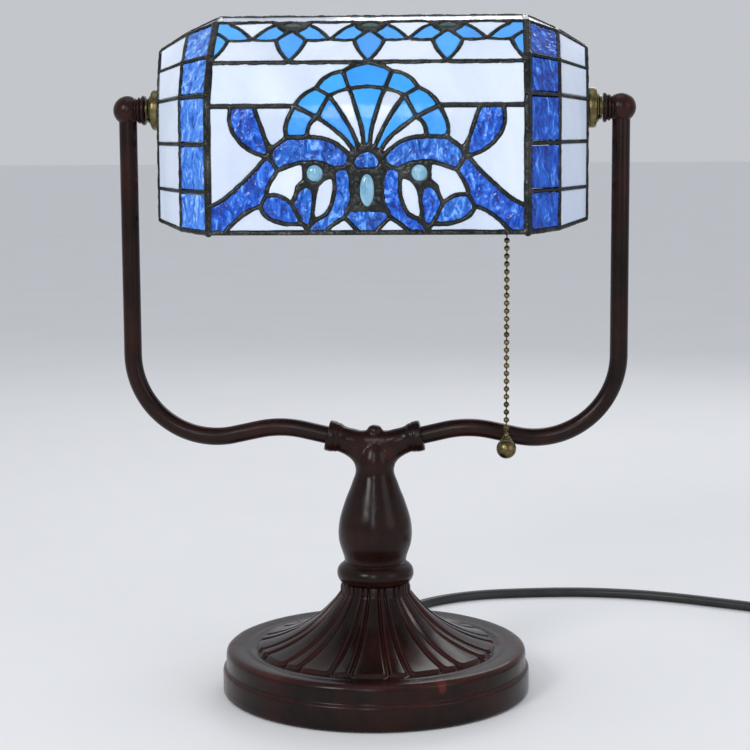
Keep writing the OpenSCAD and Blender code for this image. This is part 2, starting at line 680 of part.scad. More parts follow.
module socket_shell() {
  color(brass) difference() {
    spin(42) cylinder(r = 17, h = 50);
    spin(41) cylinder(r = 16.2, h = 52);
    guide_cut(3.6);
  }
}

module socket_liner() {
  color([0.3, 0.24, 0.18]) difference() {
    spin(43) cylinder(r = 16.2, h = 49);
    spin(42) cylinder(r = 15.2, h = 51);
    guide_cut(3.6);
  }
}

module switch_body() {
  color([0.16, 0.15, 0.15]) difference() {
    spin(67) cylinder(r = 15.2, h = 23);
    spin(70) cylinder(r = 9.5, h = 7);
    spin(86) cylinder(r = 2, h = 5);
    translate([anchor.x, -20, anchor.z]) rotate([-90, 0, 0]) cylinder(r = 2.4, h = 16);
  }
}

module switch_cam() {
  color([0.75, 0.72, 0.65]) spin(71) {
    difference() {
      cylinder(r = 8.6, h = 5);
      for (a = [45:90:315]) rotate([0, 0, a]) translate([10, 0, -1]) cylinder(r = 4, h = 7);
    }
  }
}

module screw_shell() {
  color(brass) difference() {
    spin(44) cylinder(r = 14.2, h = 23);
    spin(43) cylinder(r = 13.2, h = 22);
  }
}

module centre_contact() {
  color(brass) spin(62.6) cylinder(r = 4, h = 2.4);
}

module chain_guide() {
  color(brass) difference() {
    union() {
      translate(anchor) sphere(r = 5.4);
      translate(anchor) rotate([10, 0, 0]) translate([0, 0, -7.6]) cylinder(r1 = 8.2, r2 = 4.8, h = 7);
      guide_cut(3.6);
    }
    translate(anchor) sphere(r = 4.5);
    translate(anchor) rotate([10, 0, 0]) translate([0, 0, -8.6]) cylinder(r1 = 7.9, r2 = 3.2, h = 8);
    spin(42) cylinder(r = 15.2, h = 50);
    translate([anchor.x, anchor.y + 2, anchor.z]) rotate([-90, 0, 0]) cylinder(r = 2.4, h = 12);
  }
}

module bulb_cap() {
  color(steel) spin(0) rotate_extrude()
    polygon([[0, 62.6], [4, 62.6], [4.5, 60.5], [9, 59.6], [12.6, 57.5], [13, 56.6], [12.4, 55.4],
      [13, 54.2], [12.4, 53], [13, 51.8], [12.4, 50.6], [13, 49.4], [12.4, 48.2], [13, 47],
      [13, 38], [0, 38]]);
}

module bulb_glass() {
  color([0.95, 0.95, 0.92]) spin(0) rotate_extrude()
    polygon([[0, 38], [12.6, 38], [13, 34], [14.5, 27], [18, 18], [22.5, 8], [24, -2], [23, -11],
      [19.5, -18], [14, -23], [7, -26], [0, -26.6], [0, -25.6], [6.8, -25], [13.4, -22.1],
      [18.7, -17.4], [22, -10.7], [23, -2], [21.5, 7.7], [17.1, 17.6], [13.5, 26.7], [12, 33.9],
      [11.7, 37], [0, 37]]);
}

module socket_lead() {
  color([0.75, 0.72, 0.6]) spin(86) cylinder(r = 2, h = 47);
}

// ---------- chain ----------
module chain_hook() {
  color(brass) translate(anchor) translate([0, 0, 2.1]) cylinder(r = 0.9, h = 1.6);
}

module chain_swivel() {
  color(brass) translate(anchor) sphere(d = bead_d);
}

pitch = 4.3;
beads = 40;
chain_top = anchor.z - 3.7;
module pull_chain() {
  color(brass) {
    for (i = [0:beads - 1]) translate([anchor.x, anchor.y, chain_top - i * pitch])
      sphere(d = bead_d);
    translate([anchor.x, anchor.y, chain_top - (beads - 1) * pitch - 1])
      cylinder(r = 0.5, h = (beads - 1) * pitch + 1);
  }
}

module pull_ball() {
  z = chain_top - (beads - 1) * pitch - bead_d / 2 - 0.4;
  color(brass) translate([anchor.x, anchor.y, z]) {
    difference() {
      union() {
        translate([0, 0, -ball_d / 2]) sphere(d = ball_d);
        translate([0, 0, -1.2]) cylinder(r1 = 3.2, r2 = 1.9, h = 2.4);
      }
      translate([0, 0, -3]) cylinder(r = 0.5, h = 6);
      translate([0, 0, 0.4 + bead_d / 2]) sphere(d = bead_d);
    }
  }
}

felt_pad();
base_plate();
base_weight();
base_foot();
stem_ring();
column();
tie_rod();
rod_washer();
rod_nut();
hub_plug();
arm_left();
arm_right();
knuckle_left();
knuckle_right();
collar_left();
collar_right();
cord_gland();
terminal_block();
stand_lead();
power_cord();
cord_coil();
plug_body();
plug_pins();
washer_left();
washer_right();
pivot_nipple_left();
pivot_nipple_right();
pivot_nuts();
front_came_lower();
front_came_upper();
back_came_lower();
back_came_upper();
top_came();
end_came_left();
end_came_right();
front_white_glass();
front_sky_glass();
front_cobalt_glass();
back_white_glass();
back_sky_glass();
back_cobalt_glass();
jewels();
top_glass();
corner_glass();
end_glass();
socket_cap();
socket_shell();
socket_liner();
switch_body();
switch_cam();
screw_shell();
centre_contact();
chain_guide();
bulb_cap();
bulb_glass();
socket_lead();
chain_hook();
chain_swivel();
pull_chain();
pull_ball();
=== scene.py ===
import itertools
import json
import math
import bpy
import numpy as np
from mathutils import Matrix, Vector


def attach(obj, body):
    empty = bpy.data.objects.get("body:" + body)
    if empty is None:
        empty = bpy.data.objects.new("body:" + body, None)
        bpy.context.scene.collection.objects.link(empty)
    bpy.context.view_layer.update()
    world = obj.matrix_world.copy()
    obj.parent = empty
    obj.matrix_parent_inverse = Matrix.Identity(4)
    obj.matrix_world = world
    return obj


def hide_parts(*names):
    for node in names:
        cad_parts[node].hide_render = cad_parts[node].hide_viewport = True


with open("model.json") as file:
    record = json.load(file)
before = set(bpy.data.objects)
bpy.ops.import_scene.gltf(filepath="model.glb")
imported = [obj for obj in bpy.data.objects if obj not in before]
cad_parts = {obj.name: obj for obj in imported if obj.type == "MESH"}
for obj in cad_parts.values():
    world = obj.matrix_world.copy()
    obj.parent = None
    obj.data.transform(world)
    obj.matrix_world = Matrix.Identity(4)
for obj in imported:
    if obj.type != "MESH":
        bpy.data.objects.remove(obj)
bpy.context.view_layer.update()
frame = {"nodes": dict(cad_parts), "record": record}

# Banker desk lamp. Sizes below are millimetres in the part's frame and become metres in make() and remesh().
# Height of the tilt axis, thickness of the glass, and the point the pull chain hangs from.
PZ = 329.4
T = 2.5
ANCHOR = np.array([74.0, -22.0, PZ - 8])


# ---------- small maths ----------
def unit(v):
    v = np.asarray(v, float)
    return v / np.maximum(np.linalg.norm(v, axis=-1, keepdims=True), 1e-12)


def vnoise(p, seed=0):
    """Smooth value noise from -1 to 1 at points p (..., 3)."""
    p = np.asarray(p, float)
    i = np.floor(p).astype(np.int64)
    f = p - i
    f = f * f * f * (f * (f * 6 - 15) + 10)

    def corner(dx, dy, dz):
        n = ((i[..., 0] + dx) * 73856093 ^ (i[..., 1] + dy) * 19349663
             ^ (i[..., 2] + dz) * 83492791 ^ (seed * 668265263))
        n = ((n ^ (n >> 13)) * 1274126177) & 0xFFFFFFFF
        n = ((n ^ (n >> 15)) * 2246822519) & 0xFFFFFFFF
        return (n ^ (n >> 16)) / 2147483647.5 - 1.0

    def share(axis, far):
        return f[..., axis] if far else 1 - f[..., axis]

    out = 0
    for dx, dy, dz in itertools.product((0, 1), repeat=3):
        out = out + share(0, dx) * share(1, dy) * share(2, dz) * corner(dx, dy, dz)
    return out


def fbm(p, octaves=3, seed=0):
    """Noise from -1 to 1 with finer noise laid over it."""
    p = np.asarray(p, float)
    total, amp = 0, 1.0
    for k in range(octaves):
        total = total + amp * vnoise(p * 2.03 ** k + 7.1 * k, seed + k)
        amp *= 0.5
    return total / 1.75


def smooth(x, a, b):
    """Goes smoothly from 0 at x = a to 1 at x = b."""
    t = np.clip((x - a) / (b - a), 0, 1)
    return t * t * (3 - 2 * t)


# ---------- meshes ----------
def add_piece(name, me, body, replaces):
    """Puts the mesh in the scene as a piece that rides on body. Without a body it is scratch."""
    o = bpy.data.objects.new(name, me)
    bpy.context.scene.collection.objects.link(o)
    if body:
        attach(o, body)
    if replaces:
        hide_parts(*replaces)
    return o


def make(name, verts, faces, mat, body, slot, replaces=(), sharp=None):
    """A piece from verts and faces. Edges sharper than sharp degrees stay hard."""
    me = bpy.data.meshes.new(name)
    verts = np.asarray(verts, float) * 0.001
    if isinstance(faces, np.ndarray):
        k = faces.shape[1]
        me.vertices.add(len(verts))
        me.vertices.foreach_set("co", verts.ravel())
        me.loops.add(faces.size)
        me.loops.foreach_set("vertex_index", faces.ravel().astype(np.int32))
        me.polygons.add(len(faces))
        me.polygons.foreach_set("loop_start", np.arange(0, faces.size, k, dtype=np.int32))
        me.update(calc_edges=True)
        me.validate()
    else:
        me.from_pydata([tuple(v) for v in verts], [], faces)
        me.update()
    me.polygons.foreach_set("use_smooth", [True] * len(me.polygons))
    if sharp:
        me.set_sharp_from_angle(angle=math.radians(sharp))
    me.materials.append(mat)
    return add_piece(name, me, body, replaces)


def set_wear_and_sheen(obj, value, most=1.0):
    """Stores at each vertex how much of the second metal colour to mix in, which metal() reads: rubbed wear,
    and painted highlights where light catches the bronze.
    """
    att = obj.data.attributes.new("wear_and_sheen", "FLOAT", "POINT")
    att.data.foreach_set("value", np.clip(value, 0, most).astype(np.float32))


def mirrored(verts, faces, in_x, in_y=False):
    """The shell mirrored in x, in y or in both, with its faces still turned outward."""
    verts = verts * [-1 if in_x else 1, -1 if in_y else 1, 1]
    if in_x == in_y:
        return verts, faces
    if isinstance(faces, np.ndarray):
        return verts, faces[:, ::-1]
    return verts, [tuple(reversed(q)) for q in faces]


class Soup:
    """Verts and faces of several closed shells in one mesh."""

    def __init__(self):
        self.v, self.f, self.n = [], [], 0

    def add(self, verts, faces):
        if isinstance(faces, np.ndarray):
            faces = faces + self.n
        else:
            faces = [tuple(int(i) + self.n for i in f) for f in faces]
        self.v.append(np.asarray(verts, float))
        self.f.append(faces)
        self.n += len(verts)

    def done(self):
        if isinstance(self.f[0], np.ndarray):
            return np.concatenate(self.v), np.concatenate(self.f)
        return np.concatenate(self.v), [q for part in self.f for q in part]


def revolve(profile, seg=64, closed=False):
    """Lathe about Z. profile is (r, z) from end to end; r 0 closes an end, and closed joins last to first."""
    pts = [tuple(p) for p in profile]
    turn = [2 * math.pi * k / seg for k in range(seg)]
    verts, rings = [], []
    for r, z in pts:
        if r < 1e-6:
            rings.append([len(verts)])
            verts.append((0, 0, z))
        else:
            rings.append(list(range(len(verts), len(verts) + seg)))
            verts += [(r * math.cos(a), r * math.sin(a), z) for a in turn]
    faces = []
    n = len(pts)
    for i in range(n if closed else n - 1):
        a, b = rings[i], rings[(i + 1) % n]
        for k in range(seg):
            j = (k + 1) % seg
            if len(a) == 1 and len(b) == 1:
                continue
            if len(a) == 1:
                faces.append((a[0], b[j], b[k]))
            elif len(b) == 1:
                faces.append((a[k], a[j], b[0]))
            else:
                faces.append((a[k], a[j], b[j], b[k]))
    return np.array(verts), faces


def along_x(verts, mirror=False):
    """Turns a lathe about Z into one about the tilt axis: its +Z becomes +X (or -X)."""
    v = np.asarray(verts, float)
    s = -1.0 if mirror else 1.0
    return np.stack([s * v[:, 2], s * v[:, 1], PZ + v[:, 0]], 1)


def spline(pts, n):
    """Catmull-Rom through pts, n samples per span."""
    p = np.asarray(pts, float)
    p = np.concatenate([[2 * p[0] - p[1]], p, [2 * p[-1] - p[-2]]])
    out = []
    for i in range(1, len(p) - 2):
        a, b, c, d = p[i - 1], p[i], p[i + 1], p[i + 2]
        for k in range(n):
            u = k / n
            out.append(0.5 * (2 * b + (c - a) * u + (2 * a - 5 * b + 4 * c - d) * u * u
                              + (3 * b - a - 3 * c + d) * u ** 3))
    out.append(p[-2])
    return np.array(out)


def even(path, step):
    """Points along path at equal distances of about step."""
    path = np.asarray(path, float)
    s = np.concatenate([[0], np.cumsum(np.linalg.norm(np.diff(path, axis=0), axis=1))])
    n = max(2, int(round(s[-1] / step)) + 1)
    t = np.linspace(0, s[-1], n)
    return np.stack([np.interp(t, s, path[:, k]) for k in range(3)], 1)


def sweep(path, r, seg=16, up=(0, 1, 0), rn=None):
    """Closed tube along path. r and rn are the half widths across and along up, numbers or one per point."""
    path = np.asarray(path, float)
    n = len(path)
    d = unit(np.gradient(path, axis=0))
    upv = np.broadcast_to(np.asarray(up, float), d.shape)
    s = unit(np.cross(upv, d))
    w = np.cross(d, s)
    r = np.broadcast_to(np.asarray(r, float), (n,))
    rn = r if rn is None else np.broadcast_to(np.asarray(rn, float), (n,))
    a = 2 * np.pi * np.arange(seg) / seg
    across = s[:, None] * (r[:, None, None] * np.cos(a)[None, :, None])
    along = w[:, None] * (rn[:, None, None] * np.sin(a)[None, :, None])
    verts = (path[:, None] + across + along).reshape(-1, 3)
    faces = []
    for i in range(n - 1):
        for k in range(seg):
            j = (k + 1) % seg
            faces.append((i * seg + k, i * seg + j, (i + 1) * seg + j, (i + 1) * seg + k))
    faces.append(tuple(range(seg - 1, -1, -1)))
    faces.append(tuple(range((n - 1) * seg, n * seg)))
    return verts, faces


def read_points(me, what):
    """The mesh's vertex coordinates ("co") or normals ("normal") as an (n, 3) array."""
    flat = np.zeros(len(me.vertices) * 3)
    me.vertices.foreach_get(what, flat)
    return flat.reshape(-1, 3)


def remesh(name, verts, faces, voxel, mat, body, slot, replaces=(), passes=2, rough=None):
    """One skin over overlapping closed shells, with soft fillets where they meet."""
    tmp = make(name + "_tmp", verts, faces, mat, None, None)
    m = tmp.modifiers.new("skin", "REMESH")
    m.mode = "VOXEL"
    m.voxel_size = voxel * 0.001
    s = tmp.modifiers.new("soften", "SMOOTH")
    s.factor = 0.5
    s.iterations = passes
    bpy.context.view_layer.update()
    dep = bpy.context.evaluated_depsgraph_get()
    me = bpy.data.meshes.new_from_object(tmp.evaluated_get(dep))
    bpy.data.objects.remove(tmp)
    if rough is not None:
        co = rough(read_points(me, "co") * 1000, read_points(me, "normal"))
        me.vertices.foreach_set("co", (co * 0.001).ravel())
    me.name = name
    me.materials.clear()
    me.materials.append(mat)
    me.polygons.foreach_set("use_smooth", [True] * len(me.polygons))
    me.update()
    return add_piece(name, me, body, replaces)


def slab(outer, inner, cells):
    """Closed solid over the chosen cells of a grid; outer and inner are (nu, nv, 3) points."""
    nu, nv = outer.shape[:2]
    iu, iv = np.nonzero(cells)
    q = np.stack([iu * nv + iv, (iu + 1) * nv + iv, (iu + 1) * nv + iv + 1, iu * nv + iv + 1], 1)
    used = np.unique(q)
    remap = np.full(nu * nv, -1)
    remap[used] = np.arange(len(used))
    top = remap[q]
    n = len(used)
    e = np.concatenate([top[:, [0, 1]], top[:, [1, 2]], top[:, [2, 3]], top[:, [3, 0]]])
    key = np.minimum(e[:, 0], e[:, 1]) * n + np.maximum(e[:, 0], e[:, 1])
    _, first, count = np.unique(key, return_index=True, return_counts=True)
    b = e[first[count == 1]]
    wall = np.stack([b[:, 1], b[:, 0], b[:, 0] + n, b[:, 1] + n], 1)
    verts = np.concatenate([outer.reshape(-1, 3)[used], inner.reshape(-1, 3)[used]])
    return verts, np.concatenate([top, top[:, ::-1] + n, wall])


# ---------- materials ----------
def new_material(name):
    m = bpy.data.materials.new(name)
    m.use_nodes = True
    nt = m.node_tree
    nt.nodes.clear()
    out = nt.nodes.new("ShaderNodeOutputMaterial")
    b = nt.nodes.new("ShaderNodeBsdfPrincipled")
    nt.links.new(b.outputs[0], out.inputs[0])
    return m, nt, b


def coords(nt, scale=(1, 1, 1)):
    tc = nt.nodes.new("ShaderNodeTexCoord")
    mp = nt.nodes.new("ShaderNodeMapping")
    mp.inputs["Scale"].default_value = scale
    nt.links.new(tc.outputs["Object"], mp.inputs["Vector"])
    return mp.outputs[0]


def noise_tex(nt, vec, scale, detail=4, rough=0.55, distortion=0.0):
    n = nt.nodes.new("ShaderNodeTexNoise")
    n.inputs["Scale"].default_value = scale
    n.inputs["Detail"].default_value = detail
    n.inputs["Roughness"].default_value = rough
    n.inputs["Distortion"].default_value = distortion
    nt.links.new(vec, n.inputs["Vector"])
    return n.outputs["Fac"]


def ramp(nt, fac, stops):
    r = nt.nodes.new("ShaderNodeValToRGB")
    while len(r.color_ramp.elements) < len(stops):
        r.color_ramp.elements.new(0.5)
    for el, (pos, col) in zip(r.color_ramp.elements, stops):
        el.position = pos
        el.color = (*col, 1)
    nt.links.new(fac, r.inputs[0])
    return r.outputs[0]


def grey(nt, fac, lo, hi, a=0.3, b=0.7):
    """fac from a to b as a value from lo to hi."""
    mr = nt.nodes.new("ShaderNodeMapRange")
    mr.inputs["From Min"].default_value = a
    mr.inputs["From Max"].default_value = b
    mr.inputs["To Min"].default_value = lo
    mr.inputs["To Max"].default_value = hi
    nt.links.new(fac, mr.inputs[0])
    return mr.outputs[0]


def bump(nt, b, fac, strength, distance):
    n = nt.nodes.new("ShaderNodeBump")
    n.inputs["Strength"].default_value = strength
    n.inputs["Distance"].default_value = distance
    nt.links.new(fac, n.inputs["Height"])
    nt.links.new(n.outputs[0], b.inputs["Normal"])


def mix(nt, fac, a, b):
    m = nt.nodes.new("ShaderNodeMix")
    m.data_type = "RGBA"
    nt.links.new(fac, m.inputs[0])
    for sock, val in ((m.inputs[6], a), (m.inputs[7], b)):
        if isinstance(val, tuple):
            sock.default_value = (*val, 1)
        else:
            nt.links.new(val, sock)
    return m.outputs[2]


def math_node(nt, operation, a, b):
    """A math node on a socket and a second socket or number."""
    n = nt.nodes.new("ShaderNodeMath")
    n.operation = operation
    nt.links.new(a, n.inputs[0])
    if isinstance(b, float):
        n.inputs[1].default_value = b
    else:
        nt.links.new(b, n.inputs[1])
    return n.outputs[0]


def metal(name, dark, light, patch_color=None, rough=(0.28, 0.5), metallic=1.0, scale=90, bump_d=0.00004, spec=0.5,
          wear_and_sheen=False):
    """Mottled metal. A second colour shows in random patches, and with the per-vertex attribute on it goes
    mostly where that attribute is high, which marks rubbed wear and painted highlights.
    """
    m, nt, b = new_material(name)
    vec = coords(nt)
    n1 = noise_tex(nt, vec, scale, 5, 0.6)
    col = ramp(nt, n1, [(0.3, dark), (0.72, light)])
    if patch_color is not None:
        n2 = noise_tex(nt, vec, scale * 0.35, 4, 0.6)
        if wear_and_sheen:
            # per-vertex amount of rubbed wear and painted highlight
            rub_and_sheen = nt.nodes.new("ShaderNodeAttribute")
            rub_and_sheen.attribute_name = "wear_and_sheen"
            patches = grey(nt, n2, 0.0, 1.0, 0.42, 0.7)
            edges = math_node(nt, "MULTIPLY", rub_and_sheen.outputs["Fac"], math_node(nt, "ADD", patches, 0.35))
            fac = math_node(nt, "MAXIMUM", edges, math_node(nt, "MULTIPLY", patches, 0.25))
        else:
            fac = grey(nt, n2, 0.0, 0.8, 0.5, 0.75)
        col = mix(nt, fac, col, patch_color)
    nt.links.new(col, b.inputs["Base Color"])
    nt.links.new(grey(nt, n1, rough[0], rough[1]), b.inputs["Roughness"])
    b.inputs["Metallic"].default_value = metallic
    b.inputs["Specular IOR Level"].default_value = spec
    bump(nt, b, noise_tex(nt, vec, scale * 9, 3, 0.6), 0.35, bump_d)
    return m


def glass(name, stops, scale, rough, stretch=(1, 1, 1), sub=0.0, coat=0.0, ripple=0, ripple_d=0.0,
          distortion=0.6):
    """Swirled glass; stops are the colours of the swirl, and ripple is the scale of a fine bump."""
    m, nt, b = new_material(name)
    n1 = noise_tex(nt, coords(nt, stretch), scale, 4, 0.55, distortion)
    nt.links.new(ramp(nt, n1, stops), b.inputs["Base Color"])
    nt.links.new(grey(nt, n1, rough[0], rough[1]), b.inputs["Roughness"])
    b.inputs["IOR"].default_value = 1.5
    b.inputs["Specular IOR Level"].default_value = 0.4
    b.inputs["Coat Weight"].default_value = coat
    if sub:
        b.inputs["Subsurface Weight"].default_value = sub
        b.inputs["Subsurface Scale"].default_value = 0.004
    if ripple:
        bump(nt, b, noise_tex(nt, coords(nt), ripple, 2, 0.5), 0.4, ripple_d)
    return m


def cobalt(name, stops, scale, stretch_z, ripple, distortion):
    return glass(name, stops, scale, CLEAR, (1, 1, stretch_z), 0.0, 0.08, ripple, 0.0002, distortion)


def plastic(name, a, c, rough, scale=60, bump_d=0.00003):
    m, nt, b = new_material(name)
    vec = coords(nt)
    n1 = noise_tex(nt, vec, scale, 4)
    nt.links.new(ramp(nt, n1, [(0.3, a), (0.7, c)]), b.inputs["Base Color"])
    nt.links.new(grey(nt, n1, rough[0], rough[1]), b.inputs["Roughness"])
    bump(nt, b, noise_tex(nt, vec, scale * 20, 2), 0.3, bump_d)
    return m


# roughness ranges of the glass: opal, sky blue, and the clearer cobalt and jewels
OPAL, SKY_ROUGH, CLEAR = (0.1, 0.2), (0.12, 0.22), (0.05, 0.14)
BRONZE = metal("bronze_finish", (0.0062, 0.003, 0.0025), (0.0115, 0.0056, 0.0047), (0.08, 0.015, 0.01),
               (0.17, 0.3), 0.0, 70, spec=0.17, wear_and_sheen=True)
BRASS = metal("antique_brass", (0.06, 0.048, 0.02), (0.27, 0.22, 0.1), (0.04, 0.034, 0.017),
              (0.2, 0.38), 1.0, 220, 0.00003)
SOLDER = metal("black_patina_solder", (0.005, 0.007, 0.0065), (0.018, 0.021, 0.02), (0.07, 0.072, 0.07),
               (0.16, 0.36), 0.6, 260, 0.00008, 0.6)
STEEL = metal("zinc_steel", (0.4, 0.4, 0.42), (0.62, 0.62, 0.64), None, (0.3, 0.45), 1.0, 120)
IRON = metal("rough_iron", (0.05, 0.05, 0.055), (0.1, 0.1, 0.1), None, (0.6, 0.8), 0.6, 160, 0.0002)
WHITE = glass("opal_white_glass",
              [(0.3, (0.62, 0.71, 0.88)), (0.55, (0.72, 0.8, 0.94)), (0.75, (0.8, 0.86, 0.96))],
              26, OPAL, (1, 1, 0.35), 0.15)
WHITE_2 = glass("opal_white_glass_grey",
                [(0.3, (0.56, 0.65, 0.82)), (0.55, (0.66, 0.74, 0.88)), (0.75, (0.74, 0.8, 0.92))],
                22, OPAL, (1, 1, 0.3), 0.15)
SKY = glass("sky_blue_glass",
            [(0.3, (0.036, 0.33, 0.88)), (0.6, (0.055, 0.41, 0.94)), (0.8, (0.08, 0.47, 0.97))],
            34, SKY_ROUGH, (1, 1, 0.5), 0.1)
SKY_2 = glass("sky_blue_glass_deep",
              [(0.3, (0.028, 0.28, 0.84)), (0.6, (0.045, 0.36, 0.9)), (0.8, (0.07, 0.42, 0.95))],
              30, SKY_ROUGH, (1, 1, 0.5), 0.1)
COBALT = cobalt("cobalt_ripple_glass",
                [(0.33, (0.001, 0.02, 0.2)), (0.46, (0.003, 0.065, 0.46)), (0.57, (0.014, 0.14, 0.72)),
                 (0.67, (0.15, 0.4, 1.0))], 170, 0.5, 420, 1.6)
COBALT_2 = cobalt("cobalt_ripple_glass_pale",
                  [(0.32, (0.005, 0.06, 0.38)), (0.44, (0.025, 0.17, 0.7)), (0.55, (0.08, 0.29, 0.9)),
                   (0.66, (0.34, 0.6, 1.0))], 190, 0.45, 460, 2.0)
COBALT_3 = cobalt("cobalt_ripple_glass_mid",
                  [(0.33, (0.001, 0.024, 0.2)), (0.45, (0.006, 0.085, 0.46)), (0.56, (0.024, 0.17, 0.7)),
                   (0.67, (0.2, 0.46, 1.0))], 180, 0.5, 440, 1.8)
AQUA = glass("aqua_jewel_glass",
             [(0.3, (0.1, 0.3, 0.45)), (0.55, (0.21, 0.44, 0.6)), (0.75, (0.38, 0.6, 0.78))],
             160, (0.05, 0.12), (1, 1, 0.5), 0.1, 0.5)
DARKJEWEL = glass("dark_jewel_glass", [(0.3, (0.004, 0.02, 0.02)), (0.7, (0.01, 0.05, 0.045))],
                  160, (0.05, 0.12), coat=0.5)
BULB = glass("frosted_bulb", [(0.3, (0.82, 0.82, 0.8)), (0.7, (0.9, 0.9, 0.88))], 60, (0.35, 0.5),
             ripple=900, ripple_d=0.00002)
CORD = plastic("black_cord_jacket", (0.008, 0.008, 0.009), (0.016, 0.016, 0.018), (0.3, 0.45), 90)
BAKELITE = plastic("black_phenolic", (0.02, 0.018, 0.018), (0.04, 0.035, 0.034), (0.35, 0.5), 120)
NYLON = plastic("natural_nylon", (0.6, 0.58, 0.52), (0.7, 0.68, 0.62), (0.4, 0.55), 80)
LEADWIRE = plastic("gold_lamp_wire", (0.45, 0.36, 0.16), (0.55, 0.46, 0.24), (0.25, 0.4), 90)
FIBRE = plastic("brown_fibre", (0.09, 0.06, 0.035), (0.15, 0.1, 0.06), (0.7, 0.85), 300, 0.0001)
FELT = plastic("green_felt", (0.012, 0.03, 0.018), (0.03, 0.06, 0.035), (0.9, 1.0), 900, 0.0006)
SLOT_MATERIAL = {"felt": FELT, "steel": STEEL, "weight_iron": IRON, "bronze": BRONZE, "brass": BRASS,
                 "solder": SOLDER, "white_glass": WHITE, "sky_glass": SKY, "cobalt_glass": COBALT,
                 "aqua_glass": AQUA, "bulb_glass": BULB, "bakelite": BAKELITE, "liner": FIBRE, "nylon": NYLON,
                 "lead": LEADWIRE, "cord": CORD}
for part in frame["record"]["subparts"]:
    node = frame["nodes"][part["node"]]
    node.data.materials.clear()
    node.data.materials.append(SLOT_MATERIAL[part["material_slot"]])

# ---------- camera ----------
scene = bpy.context.scene
cam_data = bpy.data.cameras.new("camera")
cam = bpy.data.objects.new("camera", cam_data)
scene.collection.objects.link(cam)
cam_data.sensor_width = 36
cam_data.lens = 88.1
cam_data.dof.use_dof = False
AZ = math.radians(3.1)
PITCH = math.radians(7.0)
DIST = 1.028
eye = Vector((DIST * math.sin(AZ), -DIST * math.cos(AZ), 0.307))
look = Vector((-math.sin(AZ) * math.cos(PITCH), math.cos(AZ) * math.cos(PITCH), -math.sin(PITCH)))
cam.location = eye
quat = look.to_track_quat("-Z", "Y")
cam.rotation_euler = quat.to_euler()
cam.rotation_euler.rotate_axis("Z", math.radians(-0.33))
cam_data.shift_x = 0.0009
scene.camera = cam

# ---------- power cord, 1.7 m ----------
CD = 6.4
PLUG_Z, TOP_TURN_Z = 8.5, 9.7
ROUTE = [[0, 88, 9], [0, 116, 9], [0, 124, 8.8], [2, 138, 6.6], [6, 153, 3.6], [14, 170, 3.2],
         [26, 186, 3.2], [44, 200, 3.2], [64, 209, 3.2], [86, 214, 3.2], [108, 217, 3.2], [130, 218, 3.2],
         [152, 216, 3.2], [174, 211, 3.2], [196, 203, 3.2], [216, 193.5, 3.2], [236, 183.5, 3.2],
         [256, 173, 3.2], [276, 163.5, 3.2]]
COIL = np.array([300.0, 115.0])
R_OUT, R_IN = 42.0, 35.6
# radius and height of each turn
turns = [(R_OUT, 3.2), (R_IN, 3.25), (R_IN, 9.6), (R_IN, 16.0), (R_OUT, 16.05), (R_OUT, 9.7)]


def coil_point(t):
    """Point on the coil after t turns, clockwise from the far side."""
    k = min(int(t), len(turns) - 1)
    u = t - k
    r, z = turns[k]
    if u > 0.8 and k + 1 < len(turns):
        w = float(smooth(u, 0.8, 1.0))
        r += (turns[k + 1][0] - r) * w
        z += (turns[k + 1][1] - z) * w
    a = math.pi / 2 - 2 * math.pi * t
    r += 0.25 * math.sin(5 * a + k)
    return [COIL[0] + r * math.cos(a), COIL[1] + r * math.sin(a), z]


# five turns and a quarter, from the far side round to the +X side, where the tail to the plug starts
N_TURNS = 5.25
loops = [coil_point(t) for t in np.linspace(0, N_TURNS, int(N_TURNS * 44))]
head = spline(ROUTE + [loops[0]], 8)
tail = [[342, y, TOP_TURN_Z + (PLUG_Z - TOP_TURN_Z) * float(smooth(115 - y, 0, 20))]
        for y in (111, 107, 103, 99, 95, 90, 84)]
cord_path = even(np.concatenate([head[:-1], np.array(loops), np.array(tail)]), 3.2)
for _ in range(3):
    cord_path[1:-1] = 0.25 * cord_path[:-2] + 0.5 * cord_path[1:-1] + 0.25 * cord_path[2:]
v, f = sweep(cord_path, CD / 2, 14, (0, 0.0001, 1))
cord_obj = make("power_cord_tube", v, f, CORD, "stand", "cord", ("power_cord", "cord_coil"))


def box_round(cx, cy, cz, sx, sy, sz, power=5.0, n=18):
    """A soft-cornered block as a super-ellipsoid shell."""
    verts, faces = [], []
    for i in range(n + 1):
        for j in range(2 * n):
            p = math.pi * (i / n - 0.5)
            q = math.pi * j / n
            d = np.array([math.cos(p) * math.cos(q), math.cos(p) * math.sin(q), math.sin(p)])
            k = (np.abs(d) ** power).sum() ** (-1 / power)
            verts.append((cx + sx * d[0] * k, cy + sy * d[1] * k, cz + sz * d[2] * k))
    m = 2 * n
    for i in range(n):
        for j in range(m):
            faces.append((i * m + j, i * m + (j + 1) % m, (i + 1) * m + (j + 1) % m, (i + 1) * m + j))
    return np.array(verts), faces


def lathe_y(profile, x, z, seg=32):
    """Lathe about a line along +Y; profile is (r, y)."""
    vv, ff = revolve(profile, seg)
    return np.stack([x + vv[:, 1], vv[:, 2], z + vv[:, 0]], 1), ff


